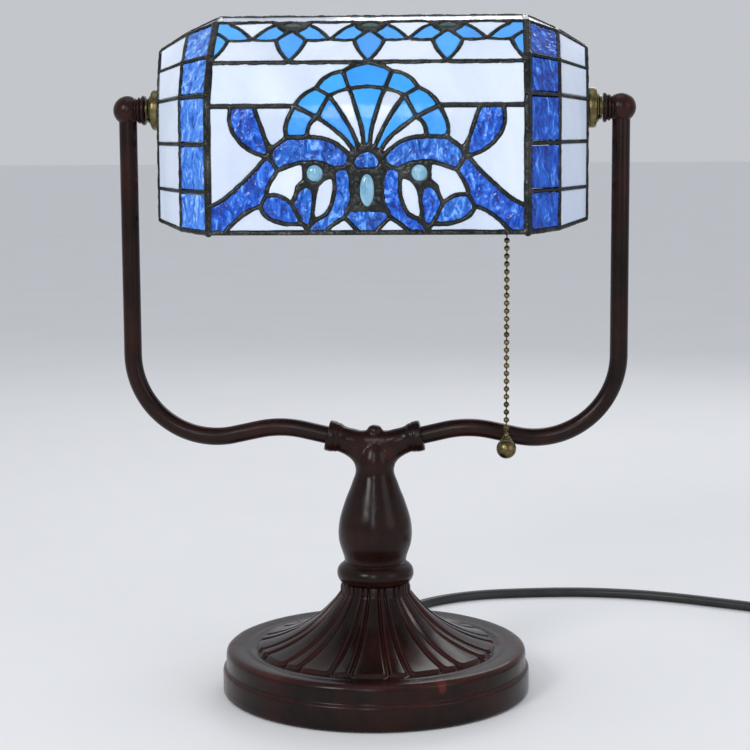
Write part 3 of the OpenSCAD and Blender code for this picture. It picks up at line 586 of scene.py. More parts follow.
plug = Soup()
plug.add(*box_round(342, 55, 8.5, 10, 16, 8.5, 6.0, 20))
plug.add(*box_round(342, 63, 8.5, 8.2, 10, 8.5, 4.0, 16))
plug_obj = remesh("plug_body_shell", *plug.done(), 0.7, CORD, "stand", "cord", ("plug_body",), 2)
relief = [(0, 66), (7.4, 66), (7.5, 70)]
for k in range(9):
    y = 71 + 3.2 * k
    r = 7.4 - 0.33 * k
    relief += [(r, y), (r, y + 1.7), (r - 0.9, y + 2.0), (r - 0.9, y + 2.9)]
relief += [(3.5, 100), (3.2, 100), (0, 99)]
v, f = lathe_y(relief, 342, 8.5, 32)
relief_obj = make("plug_strain_relief", v, f, CORD, "stand", "cord", (), 40)
gl = [(3.2, 78), (4.95, 78), (4.95, 87.3), (6.7, 87.3), (7.0, 87.7), (7.0, 89.6), (6.6, 90.0), (5.8, 90.6)]
for k in range(7):
    y = 91.2 + 3.3 * k
    r = 5.7 - 0.2 * k
    gl += [(r, y), (r, y + 1.9), (r - 0.6, y + 2.2), (r - 0.6, y + 3.0)]
gl += [(4.2, 114.4), (4.0, 115), (3.2, 115)]
v, f = lathe_y(gl, 0, 9, 32)
make("cord_strain_relief", v, f, CORD, "stand", "cord", ("cord_gland",), 40)

# ---------- foot ----------
outer = [(84, 0.8), (86.2, 0.8), (87.1, 1.0), (87.5, 1.7), (87.5, 5), (87.5, 9), (87.5, 12.6), (87.35, 13.5),
         (86.9, 14.3), (86.1, 14.7), (85.75, 15.1), (85.6, 15.8), (85.6, 18), (85.6, 21.4), (85.45, 22.9),
         (84.9, 24.2), (83.8, 25.1), (82.4, 25.5), (80.5, 25.55), (78, 25.4), (76, 25.2)]
arc = [(80 - 73.2 * math.sin(t), 98 - 73.2 * math.cos(t)) for t in np.radians(np.arange(4.2, 57.0, 0.55))]
arc = [p for p in arc if p[0] > 19.6]
prof = outer + arc + [(19.5, 57.2), (19.4, 60), (19.3, 62)]
n_outer = len(prof)
prof += [(6, 62), (6, 50), (14, 50), (22, 44.5), (30, 37.5), (40, 31), (50, 26), (64, 21.5), (81.5, 21),
         (81.5, 3.6), (84, 3.6)]
# SEG points round the foot, which has 13 groups of flutes whose petals end at radius R_TIP
SEG = 910
GROUP = 360 / 13
R_TIP = 68.6
prof = np.array(prof)
ang = 2 * np.pi * np.arange(SEG) / SEG
deg = np.degrees(ang)
tan = np.gradient(prof[:n_outer], axis=0)
nrm = unit(np.stack([tan[:, 1], -tan[:, 0]], 1))
verts = np.zeros((len(prof), SEG, 3))
wear_and_sheen = np.zeros((len(prof), SEG))
for i, (r, z) in enumerate(prof):
    rr, zz = np.full(SEG, r), np.full(SEG, z)
    if i < n_outer and i >= len(outer) - 3:
        top = np.zeros(SEG)
        # a broad petal on each group and a narrow one between: middle and half width in degrees
        for c0, half in ((270.0, 9.0), (270.0 + GROUP / 2, 4.85)):
            delta = np.abs((deg - c0 + GROUP / 2) % GROUP - GROUP / 2)
            within = delta <= half
            W = r * math.radians(half)
            L = min(W, 4.5)
            x = r * np.radians(delta)
            b = W - x
            y = r - (R_TIP - L)
            if y > 0:
                corner = np.maximum(0, x - (W - L))
                b = np.minimum(b, L - np.sqrt(corner ** 2 + y * y)) if R_TIP - r > -4 else np.full(SEG, -9.0)
            t = min(2.1, 0.5 * W)
            h = smooth(b, 0.15, 0.15 + t)
            crown = np.clip(1 - (x / max(W, 0.1)) ** 2, 0, 1)
            a = min(1.9, 0.36 * W + 0.35)
            relief_h = h * a + 0.35 * crown * smooth(b, 0, 1) * min(1, W / 6)
            # a lighter band just inside each petal's edge: rubbed wear on the raised edges, and painted edge
            # glints
            rub_and_sheen = smooth(b, 0.2, 1.3) * (1 - smooth(b, 1.3, 2.6)) * 0.5
            top = np.where(within, np.maximum(top, relief_h), top)
            wear_and_sheen[i] = np.where(within, np.maximum(wear_and_sheen[i], rub_and_sheen), wear_and_sheen[i])
        floor_d = -1.7 * (1 - smooth(np.array(r), 66.8, 72.8)) * min(1.0, 0.6 + (r - 19) / 30)
        d = (floor_d + top) * (1 - smooth(np.array(z), 60.6, 62.0))
        rr = rr + nrm[i, 0] * d
        zz = zz + nrm[i, 1] * d
    if i < n_outer:
        p3 = np.stack([r * np.cos(ang), r * np.sin(ang), zz], 1)
        lump = 0.12 * fbm(p3 / 14, 2, 3) * smooth(np.array(z), 1.5, 4)
        rr = rr + nrm[i, 0] * lump
        zz = zz + nrm[i, 1] * lump
    verts[i] = np.stack([rr * np.cos(ang), rr * np.sin(ang), zz], 1)
# painted highlights: lighter lines along the rounded top edge of the rim and along the step below it
rim = []
for r, z in prof:
    upper, lower = smooth(np.array(abs(z - 24.6)), 1.6, 0.2), smooth(np.array(abs(z - 14.2)), 1.2, 0.1)
    rim.append(upper * (r > 80) + lower * (r > 85) * 0.8)
rim = np.array(rim)
rim[n_outer:] = 0
idx = np.arange(len(prof) * SEG).reshape(len(prof), SEG)
nxt = np.roll(idx, -1, axis=1)
faces = np.stack([idx, nxt, np.roll(nxt, -1, axis=0), np.roll(idx, -1, axis=0)], -1).reshape(-1, 4)
foot = make("foot_casting", verts.reshape(-1, 3), faces, BRONZE, "stand", "bronze", ("base_foot",), 50)
# add the painted rim highlights, broken up by noise
wear_and_sheen = np.clip(wear_and_sheen + rim[:, None] * (0.55 + 0.45 * fbm(verts / 9, 2, 8)), 0, 1)
# one narrow upright lighter streak on the upper rim's side wall
mark = np.exp(-(((deg - 297.6 + 180) % 360 - 180) / 1.5) ** 4)
for i, (r, z) in enumerate(prof):
    if i < n_outer and 18.5 < z < 25.6 and r > 80:
        wear_and_sheen[i] = wear_and_sheen[i] + 1.5 * mark
set_wear_and_sheen(foot, wear_and_sheen.ravel(), 1.5)

ring_prof = [(6, 62), (18.6, 61.6), (19.4, 62.0), (20.2, 63.0), (20.6, 63.8), (21.0, 64.2), (21.5, 65.4),
             (21.9, 67.0),
             (21.8, 68.6), (21.4, 70.0), (20.7, 71.2), (19.6, 72.3), (18.6, 73.0), (18.1, 73.5), (17.5, 74.4),
             (6, 74.4)]
v, f = revolve(ring_prof, 128, True)
v = v + 0.08 * fbm(v / 9, 2, 5)[:, None] * unit(v * [1, 1, 0])
ring = make("stem_ring_turned", v, f, BRONZE, "stand", "bronze", ("stem_ring",), 60)
# painted highlight: a lighter band round the ring's lower ridge near z 64.4
set_wear_and_sheen(ring, np.exp(-((v[:, 2] - 64.4) / 0.8) ** 2) * (0.7 + 0.6 * fbm(v / 6, 2, 4)))

# ---------- column with its hub, one casting ----------
col_prof = [[17.4, 73.6], [17.5, 75], [18.0, 77.4], [18.9, 80], [20.2, 84], [20.9, 88], [21, 92], [20.6, 96],
            [19.8, 100],
            [18.3, 105], [16.6, 110], [14.6, 115], [12.8, 120], [11.3, 124], [10.9, 127], [10.9, 130],
            [10.6, 133],
            [9.8, 136], [8.6, 139], [6.9, 142], [5.4, 145], [4.4, 148], [4, 148.8]]
sp = spline([[a, 0, b] for a, b in col_prof], 4)
col = Soup()
col.add(*revolve([(0, 73.6)] + [(p[0], p[2]) for p in sp] + [(0, 148.5)], 72))
S_IN = math.radians(13)
FX, FZ = 27.0, 146.5
# hub arm with its grooves, (r, distance along it); it ends in the flare that takes the steel arm
arm_prof = [(0, -29), (6.3, -29), (6.7, -22), (7.0, -16), (7.0, -10.5), (7.4, -8.4), (8.3, -6.6), (8.5, -6.1),
            (8.3, -5.7), (8.0, -5.4), (8.1, -5.0), (8.7, -4.6), (8.8, -4.1), (8.8, -0.6), (8.4, 0), (0, 0)]
# bent root of the hub arm, out of the neck
root = spline([[2.9, 0, 121], [3.0, 0, 125], [3.5, 0, 129], [5.2, 0, 134], [8.8, 0, 138.4], [13.6, 0, 141.6],
               [18, 0, 143.4]], 6)
for s in (1, -1):
    v, f = revolve(arm_prof, 48)
    x = FX + v[:, 2] * math.cos(S_IN) - v[:, 0] * math.sin(S_IN)
    z = FZ + v[:, 2] * math.sin(S_IN) + v[:, 0] * math.cos(S_IN)
    col.add(*mirrored(np.stack([x, -v[:, 1], z], 1), f, s < 0))
    col.add(*sweep(root * [s, 1, 1], np.linspace(8.0, 6.9, len(root)), 40))
# level saddle between the two arms
col.add(*sweep(np.array([[-15.5, 0, 143.0], [-5, 0, 142.9], [5, 0, 142.9], [15.5, 0, 143.0]]), 6.3, 40))
dome = [(0, 142), (4.6, 142), (4.5, 148.6), (4.2, 150.2), (3.2, 151.5), (1.7, 152.2), (0, 152.4)]
col.add(*revolve(dome, 40))


def cast(co, n):
    return co + n * (0.10 * fbm(co / 7, 3, 21))[:, None]


column = remesh("column_casting", *col.done(), 0.55, BRONZE, "stand", "bronze", ("column", "hub_plug"), 5,
                cast)
co = read_points(column.data, "co") * 1000
# painted highlight: a lighter band round the neck near z 136; a second lighter band goes round the waist near
# z 84
neck = 0.3 * np.exp(-((co[:, 2] - 136) / 7) ** 2) * (0.7 + fbm(co / 8, 2, 31))
waist = 0.25 * np.exp(-((co[:, 2] - 84) / 5) ** 2) * (0.5 + fbm(co / 8, 2, 32))
set_wear_and_sheen(column, neck + waist)

# ---------- arms ----------
# Each arm slopes up out of the hub, curves over, slopes down and turns up into the vertical.
ARM_X = 137.0
R_OVER, R_UP = 60, 47
S_OUT = math.radians(12)
over_x, over_z = 39.7 + R_OVER * math.sin(S_IN), FZ + 12.7 * math.tan(S_IN) - R_OVER * math.cos(S_IN)
low_x = ARM_X - R_UP * (1 + math.sin(S_OUT))
low_z = over_z + R_OVER * math.cos(S_OUT) - (low_x - (over_x + R_OVER * math.sin(S_OUT))) * math.tan(S_OUT)
up_x, up_z = low_x + R_UP * math.sin(S_OUT), low_z + R_UP * math.cos(S_OUT)
line = [[19.0, 0, FZ - 8 * math.tan(S_IN)]]
for a in np.radians(np.linspace(13, -12, 14)):
    line.append([over_x - R_OVER * math.sin(a), 0, over_z + R_OVER * math.cos(a)])
for a in np.radians(np.linspace(-12, 90, 44)):
    line.append([up_x + R_UP * math.sin(a), 0, up_z - R_UP * math.cos(a)])
line += [[ARM_X, 0, z] for z in np.linspace(up_z + 8, PZ - 4.5, 22)]
R_BALL = 8.1
ball = [(0, -R_BALL)] + [(R_BALL * math.cos(a), R_BALL * math.sin(a))
                         for a in np.radians(np.arange(-84, 85, 6))]
ball.append((0, R_BALL))
collar = [(4.05, 126.85), (7.4, 126.85), (8.0, 127.1), (8.25, 127.6), (8.2, 128.3), (7.8, 128.8),
          (6.9, 129.2),
          (6.7, 129.45), (7.0, 129.7), (7.35, 130.0), (7.35, 130.5), (7.0, 130.9), (6.3, 131.2),
          (6.15, 131.4),
          (6.35, 131.6), (6.6, 131.9), (6.5, 132.4), (6.2, 132.9), (4.05, 132.9)]
washer = [(4.02, 118.0), (10.3, 118.0), (10.8, 118.3), (11.05, 118.9), (11.1, 120.2), (11.1, 121.6),
          (11.0, 122.5),
          (10.5, 123.1), (9.6, 123.4), (8.5, 123.5), (8.2, 123.7), (8.0, 124.3), (7.0, 124.7), (6.7, 125.2),
          (6.5, 126.15), (4.02, 126.2)]
for s, side in ((1, "right"), (-1, "left")):
    v, f = sweep(line, 5.0, 36)
    v, f = mirrored(v + 0.05 * fbm(v / 11, 2, 40 + s)[:, None], f, s < 0)
    o = make("bent_arm_" + side, v, f, BRONZE, "stand", "bronze", ("arm_" + side,), 50)
    set_wear_and_sheen(o, 0.04 + 0.35 * fbm(v / 16, 3, 44))
    # the knuckle is a ball with a flat inner side, which the collar meets
    v, f = revolve(ball, 48)
    v = v + [s * ARM_X, 0, PZ]
    v[:, 0] = np.where(s * v[:, 0] < 132.5, s * 132.5, v[:, 0])
    o = make("knuckle_ball_" + side, v, f, BRONZE, "stand", "bronze", ("knuckle_" + side,), 60)
    set_wear_and_sheen(o, 0.3 + 0.4 * fbm(v / 4, 2, 51))
    v, f = revolve(collar, 64, True)
    v = along_x(v, s < 0)
    o = make("ribbed_collar_" + side, v, f, BRONZE, "stand", "bronze", ("collar_" + side,), 70)
    set_wear_and_sheen(o, 0.1 + 0.4 * fbm(v / 3, 2, 52))
    v, f = revolve(washer, 72, True)
    v = along_x(v, s < 0)
    v = v + 0.05 * fbm(v / 4, 2, 53)[:, None] * [0.3, 1, 1]
    make("stepped_washer_" + side, v, f, BRASS, "shade", "brass", ("washer_" + side,), 50)

# ---------- pull chain ----------
BEAD = 1.6
PITCH_C = 4.3
N_BEAD = 40
top_z = ANCHOR[2] - 3.7


def ball_shell(c, r, n=10, m=14):
    angles = np.linspace(-math.pi / 2, math.pi / 2, n + 1)[1:-1]
    prof = [(0, -r)] + [(r * math.cos(a), r * math.sin(a)) for a in angles] + [(0, r)]
    vv, ff = revolve(prof, m)
    return vv + c, ff


chain = Soup()
bead_prof = [(0, -1.62), (0.42, -1.6), (0.55, -1.5)]
bead_prof += [(BEAD * math.cos(a), BEAD * math.sin(a)) for a in np.radians(np.arange(-64, 65, 16))]
bead_prof += [(0.55, 1.5), (0.42, 1.6), (0, 1.62)]
link_prof = [(0, -PITCH_C + 1.3), (0.42, -PITCH_C + 1.3), (0.36, -PITCH_C / 2), (0.42, -1.3), (0, -1.3)]
for i in range(N_BEAD):
    c = np.array([ANCHOR[0], ANCHOR[1], top_z - i * PITCH_C])
    vv, ff = revolve(bead_prof, 16)
    chain.add(vv + c, ff)
    if i < N_BEAD - 1:
        vv, ff = revolve(link_prof, 8)
        chain.add(vv + c, ff)
v, f = chain.done()
make("bead_chain", v, f, BRASS, "pull", "brass", ("pull_chain",), 60)
bz = top_z - (N_BEAD - 1) * PITCH_C - 1.6 - 0.4
R_B = 5.5
bp = [(0, bz - 2 * R_B)]
for a in np.radians(np.arange(-84, 66, 6)):
    r = R_B * math.cos(a)
    z = bz - R_B + R_B * math.sin(a)
    if abs(math.degrees(a)) < 1:
        bp += [(r, z - 0.25), (r - 0.16, z - 0.1), (r - 0.16, z + 0.1), (r, z + 0.25)]
    else:
        bp.append((r, z))
bp += [(3.1, bz - 0.9), (3.15, bz - 0.3), (2.6, bz + 0.2), (2.1, bz + 1.0), (1.9, bz + 1.3), (1.2, bz + 1.4),
       (0, bz + 1.4)]
v, f = revolve(bp, 48)
make("pull_ball_turned", v + [ANCHOR[0], ANCHOR[1], 0], f, BRASS, "pull", "brass", ("pull_ball",), 50)

# ---------- the pattern of the long panels ----------
# Points are (u, v): u along the panel from its middle, v up its surface from the lower edge. The panel bends
# at V1 and V2 and ends at V3, where the narrow strip along the ridge starts.
Y0, Z0 = -57.5, -66.0
V1, V2, V3 = 66.0, 91.0, 126.0
L1, L2 = math.radians(28.4), math.radians(51)
y2, z2 = Y0 + (V2 - V1) * math.sin(L1), (V2 - V1) * math.cos(L1)
y3, z3 = y2 + (V3 - V2) * math.sin(L2), z2 + (V3 - V2) * math.cos(L2)
RIDGE = 48.0
L3 = math.atan2(-y3, RIDGE - z3)
TOP = math.hypot(y3, RIDGE - z3)
HALF = 84.0
white_pieces = [
    [[-84, 66], [-71.5, 66], [-72.5, 59], [-71, 53], [-66.5, 47], [-60.5, 42.5], [-53, 40], [-59.5, 32.5],
     [-68, 24.5], [-76, 17.5], [-84, 13.5]],
    [[-59.5, 66], [-57, 60], [-54, 50.5], [-50, 44.5], [-42, 50], [-43, 54.5], [-41.5, 60], [-38, 66]],
    [[-31.5, 50.5], [-30.5, 57], [-26, 60.5], [-18, 55], [-11, 49], [-7, 43], [-9, 40.5], [-15, 46.5],
     [-23, 50]],
    [[-20, 71.5], [-14.5, 74], [-9.5, 75.5], [-6, 66], [-2.5, 55], [-1.5, 46], [-4, 44.5], [-8, 54],
     [-14, 64]],
    [[-47, 33], [-39, 36], [-33.5, 37.5], [-33.5, 32], [-33, 28], [-37, 25], [-38, 19], [-40, 15.5],
     [-43.5, 18.5], [-48.5, 20.5], [-53.5, 19.5], [-52, 25.5]],
    [[-26, 25], [-22.5, 28], [-17.5, 30], [-17, 24], [-18, 16.5], [-21, 10], [-27, 7], [-29, 10],
     [-28, 16.5]],
    [[-62.5, 12], [-56.5, 14], [-55, 10], [-50, 6.5], [-42, 4.5], [-34, 4.5], [-31.5, 0], [-76, 0],
     [-70.5, 6]],
    [[-17, 5.5], [-12, 8], [-8.5, 4.5], [-4, 0], [-23, 0]],
    [[-84, 66], [-38, 66], [-36.5, 68.5], [-32.5, 73], [-27, 76], [-23.5, 81.5], [-18, 85], [-13, 86],
     [-7, 89.5], [0, 91], [-84, 91]]]
sky_pieces = [
    [[-42, 50], [-43, 54.5], [-41.5, 60], [-38, 66], [-26, 60.5], [-30.5, 57], [-31.5, 50.5]],
    [[-38, 66], [-36.5, 68.5], [-32.5, 73], [-27, 76], [-20, 71.5], [-26, 60.5]],
    [[-27, 76], [-23.5, 81.5], [-18, 85], [-13, 86], [-9.5, 75.5], [-14.5, 74], [-20, 71.5]],
    [[-26, 60.5], [-20, 71.5], [-14, 64], [-8, 54], [-4, 44.5], [-7, 43], [-11, 49], [-18, 55]]]
cobalt_pieces = [
    [[-71.5, 66], [-59.5, 66], [-57, 60], [-54, 50.5], [-52, 41.5], [-53, 40], [-60.5, 42.5], [-66.5, 47],
     [-71, 53], [-72.5, 59]],
    [[-50, 44.5], [-42, 50], [-31.5, 50.5], [-23, 50], [-15, 46.5], [-9, 40.5], [-10.5, 36], [-16, 33.5],
     [-23, 37], [-29, 38], [-33.5, 37.5], [-39, 36], [-47, 33], [-50.5, 38]],
    [[-53, 40], [-50.5, 38], [-47, 33], [-52, 25.5], [-53.5, 19.5], [-56.5, 14], [-62.5, 12], [-70.5, 6],
     [-76, 0], [-84, 0], [-84, 13.5], [-76, 17.5], [-68, 24.5], [-59.5, 32.5]],
    [[-56.5, 14], [-53.5, 19.5], [-48.5, 20.5], [-43.5, 18.5], [-40, 15.5], [-37, 9.5], [-34, 4.5],
     [-42, 4.5], [-50, 6.5], [-55, 10]],
    [[-40, 15.5], [-38, 19], [-35.5, 23], [-32, 24.5], [-29, 22.5], [-28, 16.5], [-29, 10], [-30.5, 3.5],
     [-34, 4.5], [-37, 9.5]],
    [[-17.5, 30], [-16, 33.5], [-10.5, 34], [-8.5, 27], [-8.5, 18], [-11, 11.5], [-12, 8], [-17, 5.5],
     [-23, 0], [-31.5, 0], [-30.5, 3.5], [-27, 7], [-21, 10], [-18, 16.5], [-17, 24]]]
mid_sky = [
    [[-13, 86], [-7, 89.5], [0, 91], [7, 89.5], [13, 86], [9.5, 75.5], [0, 77], [-9.5, 75.5]],
    [[-9.5, 75.5], [0, 77], [9.5, 75.5], [6, 66], [2.5, 55], [1.5, 46], [-1.5, 46], [-2.5, 55], [-6, 66]]]
mid_cobalt = [
    [[-7.5, 37.5], [-3.5, 42], [0, 43], [3.5, 42], [7.5, 37.5], [5.5, 33.5], [-5.5, 33.5]],
    [[-11, 11.5], [0, 12], [11, 11.5], [12, 8], [8.5, 4.5], [4, 0], [-4, 0], [-8.5, 4.5], [-12, 8]]]
bud = [[0, 118], [4.5, 114.5], [8, 110], [6, 101.5], [0, 91], [-6, 101.5], [-8, 110], [-4.5, 114.5]]
petal = [[2.5, 117], [6, 119.5], [8.5, 124], [13, 121.5], [17.5, 116], [21, 110.5], [14, 109.5], [8, 110],
         [4.5, 114.5]]
scallop = [[8, 110], [14, 109.5], [21, 110.5], [28, 109.5], [34, 110], [36, 101.5], [42, 91], [0, 91],
           [6, 101.5]]
spandrel = [[8.5, 124], [13, 121.5], [17.5, 116], [21, 110.5], [24.5, 116], [29, 121.5], [33.5, 124],
            [33.5, 126], [8.5, 126]]
# middle and half sizes of each jewel
jewel_list = [(-27.5, 31.5, 4.2, 4.2), (27.5, 31.5, 4.2, 4.2), (0, 22.5, 3.7, 8.5),
              (-42, 122.2, 5.4, 2.7), (0, 122.2, 5.4, 2.7), (42, 122.2, 5.4, 2.7)]


def flip(p):
    return [[-a, b] for a, b in reversed(p)]


def shift(p, d):
    return [[a + d, b] for a, b in p]


pieces = []
for group, kind in ((white_pieces, "white"), (sky_pieces, "sky"), (cobalt_pieces, "cobalt")):
    for p in group:
        pieces += [(p, kind), (flip(p), kind)]
pieces += [(p, "sky") for p in mid_sky] + [(p, "cobalt") for p in mid_cobalt]
for shape in (scallop, spandrel):
    pieces += [(shift(shape, d), "white") for d in (-84, -42, 0, 42)]
pieces += [(shift(bud, d), "sky") for d in (-84, -42, 0, 42, 84)]
for d in (-42, 0, 42):
    pieces += [(shift(petal, d), "sky"), (flip(shift(petal, d)), "sky")]
corner = [[-84, 118], [-79.5, 114.5], [-76, 110], [-70, 109.5], [-63, 110.5], [-66.5, 116], [-71, 121.5],
          [-75.5, 124], [-75.5, 126], [-84, 126]]
pieces += [(corner, "sky"), (flip(corner), "sky")]

# round the corners that only two pieces share, the same way in both
count = {}
for p, _ in pieces:
    for a in p:
        key = (round(a[0] * 2), round(a[1] * 2))
        count[key] = count.get(key, 0) + 1


def eased(p):
    """The outline with its free corners cut twice; edge points and sharp corners stay."""
    n = len(p)
    pinned = []
    for i, a in enumerate(p):
        u, w = np.subtract(a, p[i - 1]), np.subtract(p[(i + 1) % n], a)
        turn = abs(math.degrees(math.atan2(u[0] * w[1] - u[1] * w[0], u @ w)))
        edge = any(abs(a[1] - v_line) < 0.3 for v_line in (0, V2, V3)) or abs(abs(a[0]) - HALF) < 0.3
        edge = edge or (abs(a[1] - V1) < 0.3 and abs(a[0]) > 37)
        pinned.append(edge or turn > 62 or count[(round(a[0] * 2), round(a[1] * 2))] != 2)
    pts = [(np.array(a, float), k) for a, k in zip(p, pinned)]
    for _ in range(2):
        out = []
        for i, (a, k) in enumerate(pts):
            if k:
                out.append((a, True))
            else:
                out.append((0.75 * a + 0.25 * pts[i - 1][0], False))
                out.append((0.75 * a + 0.25 * pts[(i + 1) % len(pts)][0], False))
        pts = out
    return np.array([a for a, _ in pts])


STEP = 0.5
us = np.arange(-HALF - 0.5, HALF + 0.51, STEP)
vs_front = np.arange(-1.0, V3 + TOP + 0.01, (V3 + TOP + 1.0) / 292)
U, V = np.meshgrid(us, vs_front, indexing="ij")


def inside(poly, U, V):
    """True at the grid points within the outline."""
    res = np.zeros(U.shape, bool)
    n = len(poly)
    for i in range(n):
        (x1, y1), (x2, y2_) = poly[i], poly[(i + 1) % n]
        if y1 == y2_:
            continue
        c = (y1 > V) != (y2_ > V)
        res ^= c & (U < (x2 - x1) * (V - y1) / (y2_ - y1) + x1)
    return res


kern_r = 6
kern = np.exp(-0.5 * (np.arange(-kern_r, kern_r + 1) / 2.0) ** 2)
kern /= kern.sum()
best = np.full(U.shape, -1.0)
second = np.full(U.shape, -1.0)
label = np.full(U.shape, -1)
Vc = np.clip(V, 0.01, None)


def blur(ind):
    """Gaussian blur of a grid along both axes."""
    for axis in (0, 1):
        pad = [(0, 0), (0, 0)]
        pad[axis] = (kern_r, kern_r)
        q = np.pad(ind, pad, mode="edge")
        n = ind.shape[axis]
        ind = sum(kern[k] * (q[k:k + n, :] if axis == 0 else q[:, k:k + n]) for k in range(2 * kern_r + 1))
    return ind


shapes = [(eased(p), k) for p, k in pieces]
Uc = np.clip(U, -HALF + 0.01, HALF - 0.01)
masks = [inside(p, Uc, Vc) for p, _ in shapes]
ell = []
for (cu, cv, a, b) in jewel_list:
    ell.append(((U - cu) / a) ** 2 + ((V - cv) / b) ** 2 < 1)
jew_any = np.any(ell, axis=0)
masks = [m & ~jew_any for m in masks] + ell
kinds = [k for _, k in shapes] + ["jewel"] * len(ell)
masks.append(V > V3)
kinds.append("top")
for k, m in enumerate(masks):
    w = blur(m.astype(float))
    up = w > best
    second = np.where(up, best, np.maximum(second, w))
    label = np.where(up, k, label)
    best = np.where(up, w, best)
# how far each point is from the nearest seam, by the inverse error function of the blurred shares
ERF_A = 0.147
d = np.clip(best - np.maximum(second, 0), 0, 0.9995)
ln = np.log(1 - d * d)
aa = 2 / (math.pi * ERF_A) + ln / 2
dist = np.sqrt(np.maximum(np.sqrt(aa * aa - ln / ERF_A) - aa, 0)) * math.sqrt(2) * 2.0 * STEP
# a line is where two pieces meet; half width about 1.15 mm, more where three lines pool
P2 = np.stack([U, V, np.zeros_like(U)], -1)
wid = 1.22 * (1 + 0.16 * vnoise(P2 / 5.0, 2) + 0.08 * vnoise(P2 / 1.7, 3))
cover = 1 - (dist / wid) ** 2
edge_w = 1.9 * (1 + 0.1 * vnoise(P2 / 6.0, 5))
cover_edge = 1 - ((HALF - np.abs(U)) / edge_w) ** 2
cover_edge = np.where(np.abs(U) > HALF, 1.0, cover_edge)
cover_low = 1 - (np.maximum(V, 0) / (1.75 * (1 + 0.08 * vnoise(P2 / 6.0, 6)))) ** 2
cover_top = 1 - ((V3 + TOP - V) / 1.5) ** 2
cover_v1 = np.where((np.abs(U) > 37.5), 1 - ((V - V1) / 1.25) ** 2, -9)
# small fields filled with solder round the middle jewels
dark = (np.abs(U) < 5.6) & (V > 11.9) & (V < 33.6)
for du in (-42, 0, 42):
    dark |= ((U - du) / 8.2) ** 2 + ((V - 121.8) / 4.6) ** 2 < 1
# the lines run together smoothly where they meet
kk = 6.0
stack = np.stack([cover, cover_edge, cover_low, cover_top, cover_v1])
cov = np.log(np.exp(kk * np.clip(stack, -4, 1.2)).sum(0)) / kk
cov = np.minimum(cov, 1.35)
H = 0.85 * (1 + 0.3 * vnoise(P2 / 3.1, 11) + 0.18 * vnoise(P2 / 1.2, 12))
rise = H * cov
in_jewel = np.isin(label, [k for k, n in enumerate(kinds) if n == "jewel"])
dark = dark & ~in_jewel & (label >= 0)
rise = np.where(dark & (cov < 0.5), 0.35 + 0.12 * vnoise(P2 / 1.3, 15) + 0.3 * np.maximum(cov, 0), rise)
kind_map = np.array(kinds)[label]


def sheet_frame(V):
    """Point (y, z) on the inner face and its outward normal, arrays over V, which runs on over the ridge."""
    total = 2 * (V3 + TOP)
    back = V > V3 + TOP
    W = np.where(back, total - V, V)
    slopes = [W < V1, W < V2, W < V3]
    y = np.select(slopes, [Y0 + 0 * W, Y0 + (W - V1) * math.sin(L1), y2 + (W - V2) * math.sin(L2)],
                  y3 + (W - V3) * math.sin(L3))
    z = np.select(slopes, [Z0 + W, (W - V1) * math.cos(L1), z2 + (W - V2) * math.cos(L2)],
                  z3 + (W - V3) * math.cos(L3))
    # the glass eases round the lower bend
    ease = 6.0
    bend = ease / math.tan(L1 / 2)
    ph = np.clip((W - V1 + ease) / (2 * ease), 0, 1) * L1
    near = np.abs(W - V1) < ease
    y = np.where(near, Y0 + bend * (1 - np.cos(ph)), y)
    z = np.where(near, Z0 + V1 - ease + bend * np.sin(ph), z)
    lean = np.interp(W, [0, V1 - ease, V1 + ease, V2 - 1.6, V2 + 1.6, V3 - 1.6, V3 + 1.6, V3 + TOP - 1.6,
                         V3 + TOP],
                     [0, 0, L1, L1, L2, L2, L3, L3, math.pi / 2])
    ny, nz = -np.cos(lean), np.sin(lean)
    sgn = np.where(back, -1.0, 1.0)
    return np.stack([y * sgn, z + PZ], -1), np.stack([ny * sgn, nz], -1)


def both_sides(a):
    """The front's grid followed by its mirror image for the back."""
    return np.concatenate([a, a[:, ::-1][:, 1:]], 1)


V_all = np.concatenate([vs_front, 2 * (V3 + TOP) - vs_front[::-1][1:]])
VV = np.broadcast_to(V_all, (len(us), len(V_all)))
pos, nor = sheet_frame(VV)
UU = np.broadcast_to(us[:, None], VV.shape)


def place(h):
    """The sheet's points raised by h."""
    return np.stack([UU, pos[..., 0] + nor[..., 0] * h, pos[..., 1] + nor[..., 1] * h], -1)


rise_all = both_sides(rise)
lab_all = both_sides(label)
kind_all = both_sides(kind_map)
cov_all = both_sides(cov)
P3 = place(np.zeros_like(VV))
rise_all = rise_all + 0.05 * fbm(P3 / 2.2, 2, 61)
solder_out = place(T + rise_all)
solder_in = place(-0.7 * rise_all)
keep_v = rise_all > -0.85
cells = keep_v[:-1, :-1] | keep_v[1:, :-1] | keep_v[1:, 1:] | keep_v[:-1, 1:]
low_k = int(np.searchsorted(V_all, V1))
mid_k = len(vs_front) - 1
roof_k = int(np.searchsorted(V_all, V3))
n_v = cells.shape[1]
bands = [("front_solder_lower", 0, low_k, "front_came_lower"),
         ("front_solder_upper", low_k, roof_k, "front_came_upper"),
         ("roof_solder", roof_k, n_v - roof_k, "top_came"),
         ("back_solder_upper", n_v - roof_k, n_v - low_k, "back_came_upper"),
         ("back_solder_lower", n_v - low_k, n_v, "back_came_lower")]
for name, a, b, rep in bands:
    m = cells.copy()
    m[:, :a] = False
    m[:, b:] = False
    v, f = slab(solder_out, solder_in, m)
    make(name, v, f, SOLDER, "shade", "solder", (rep,))

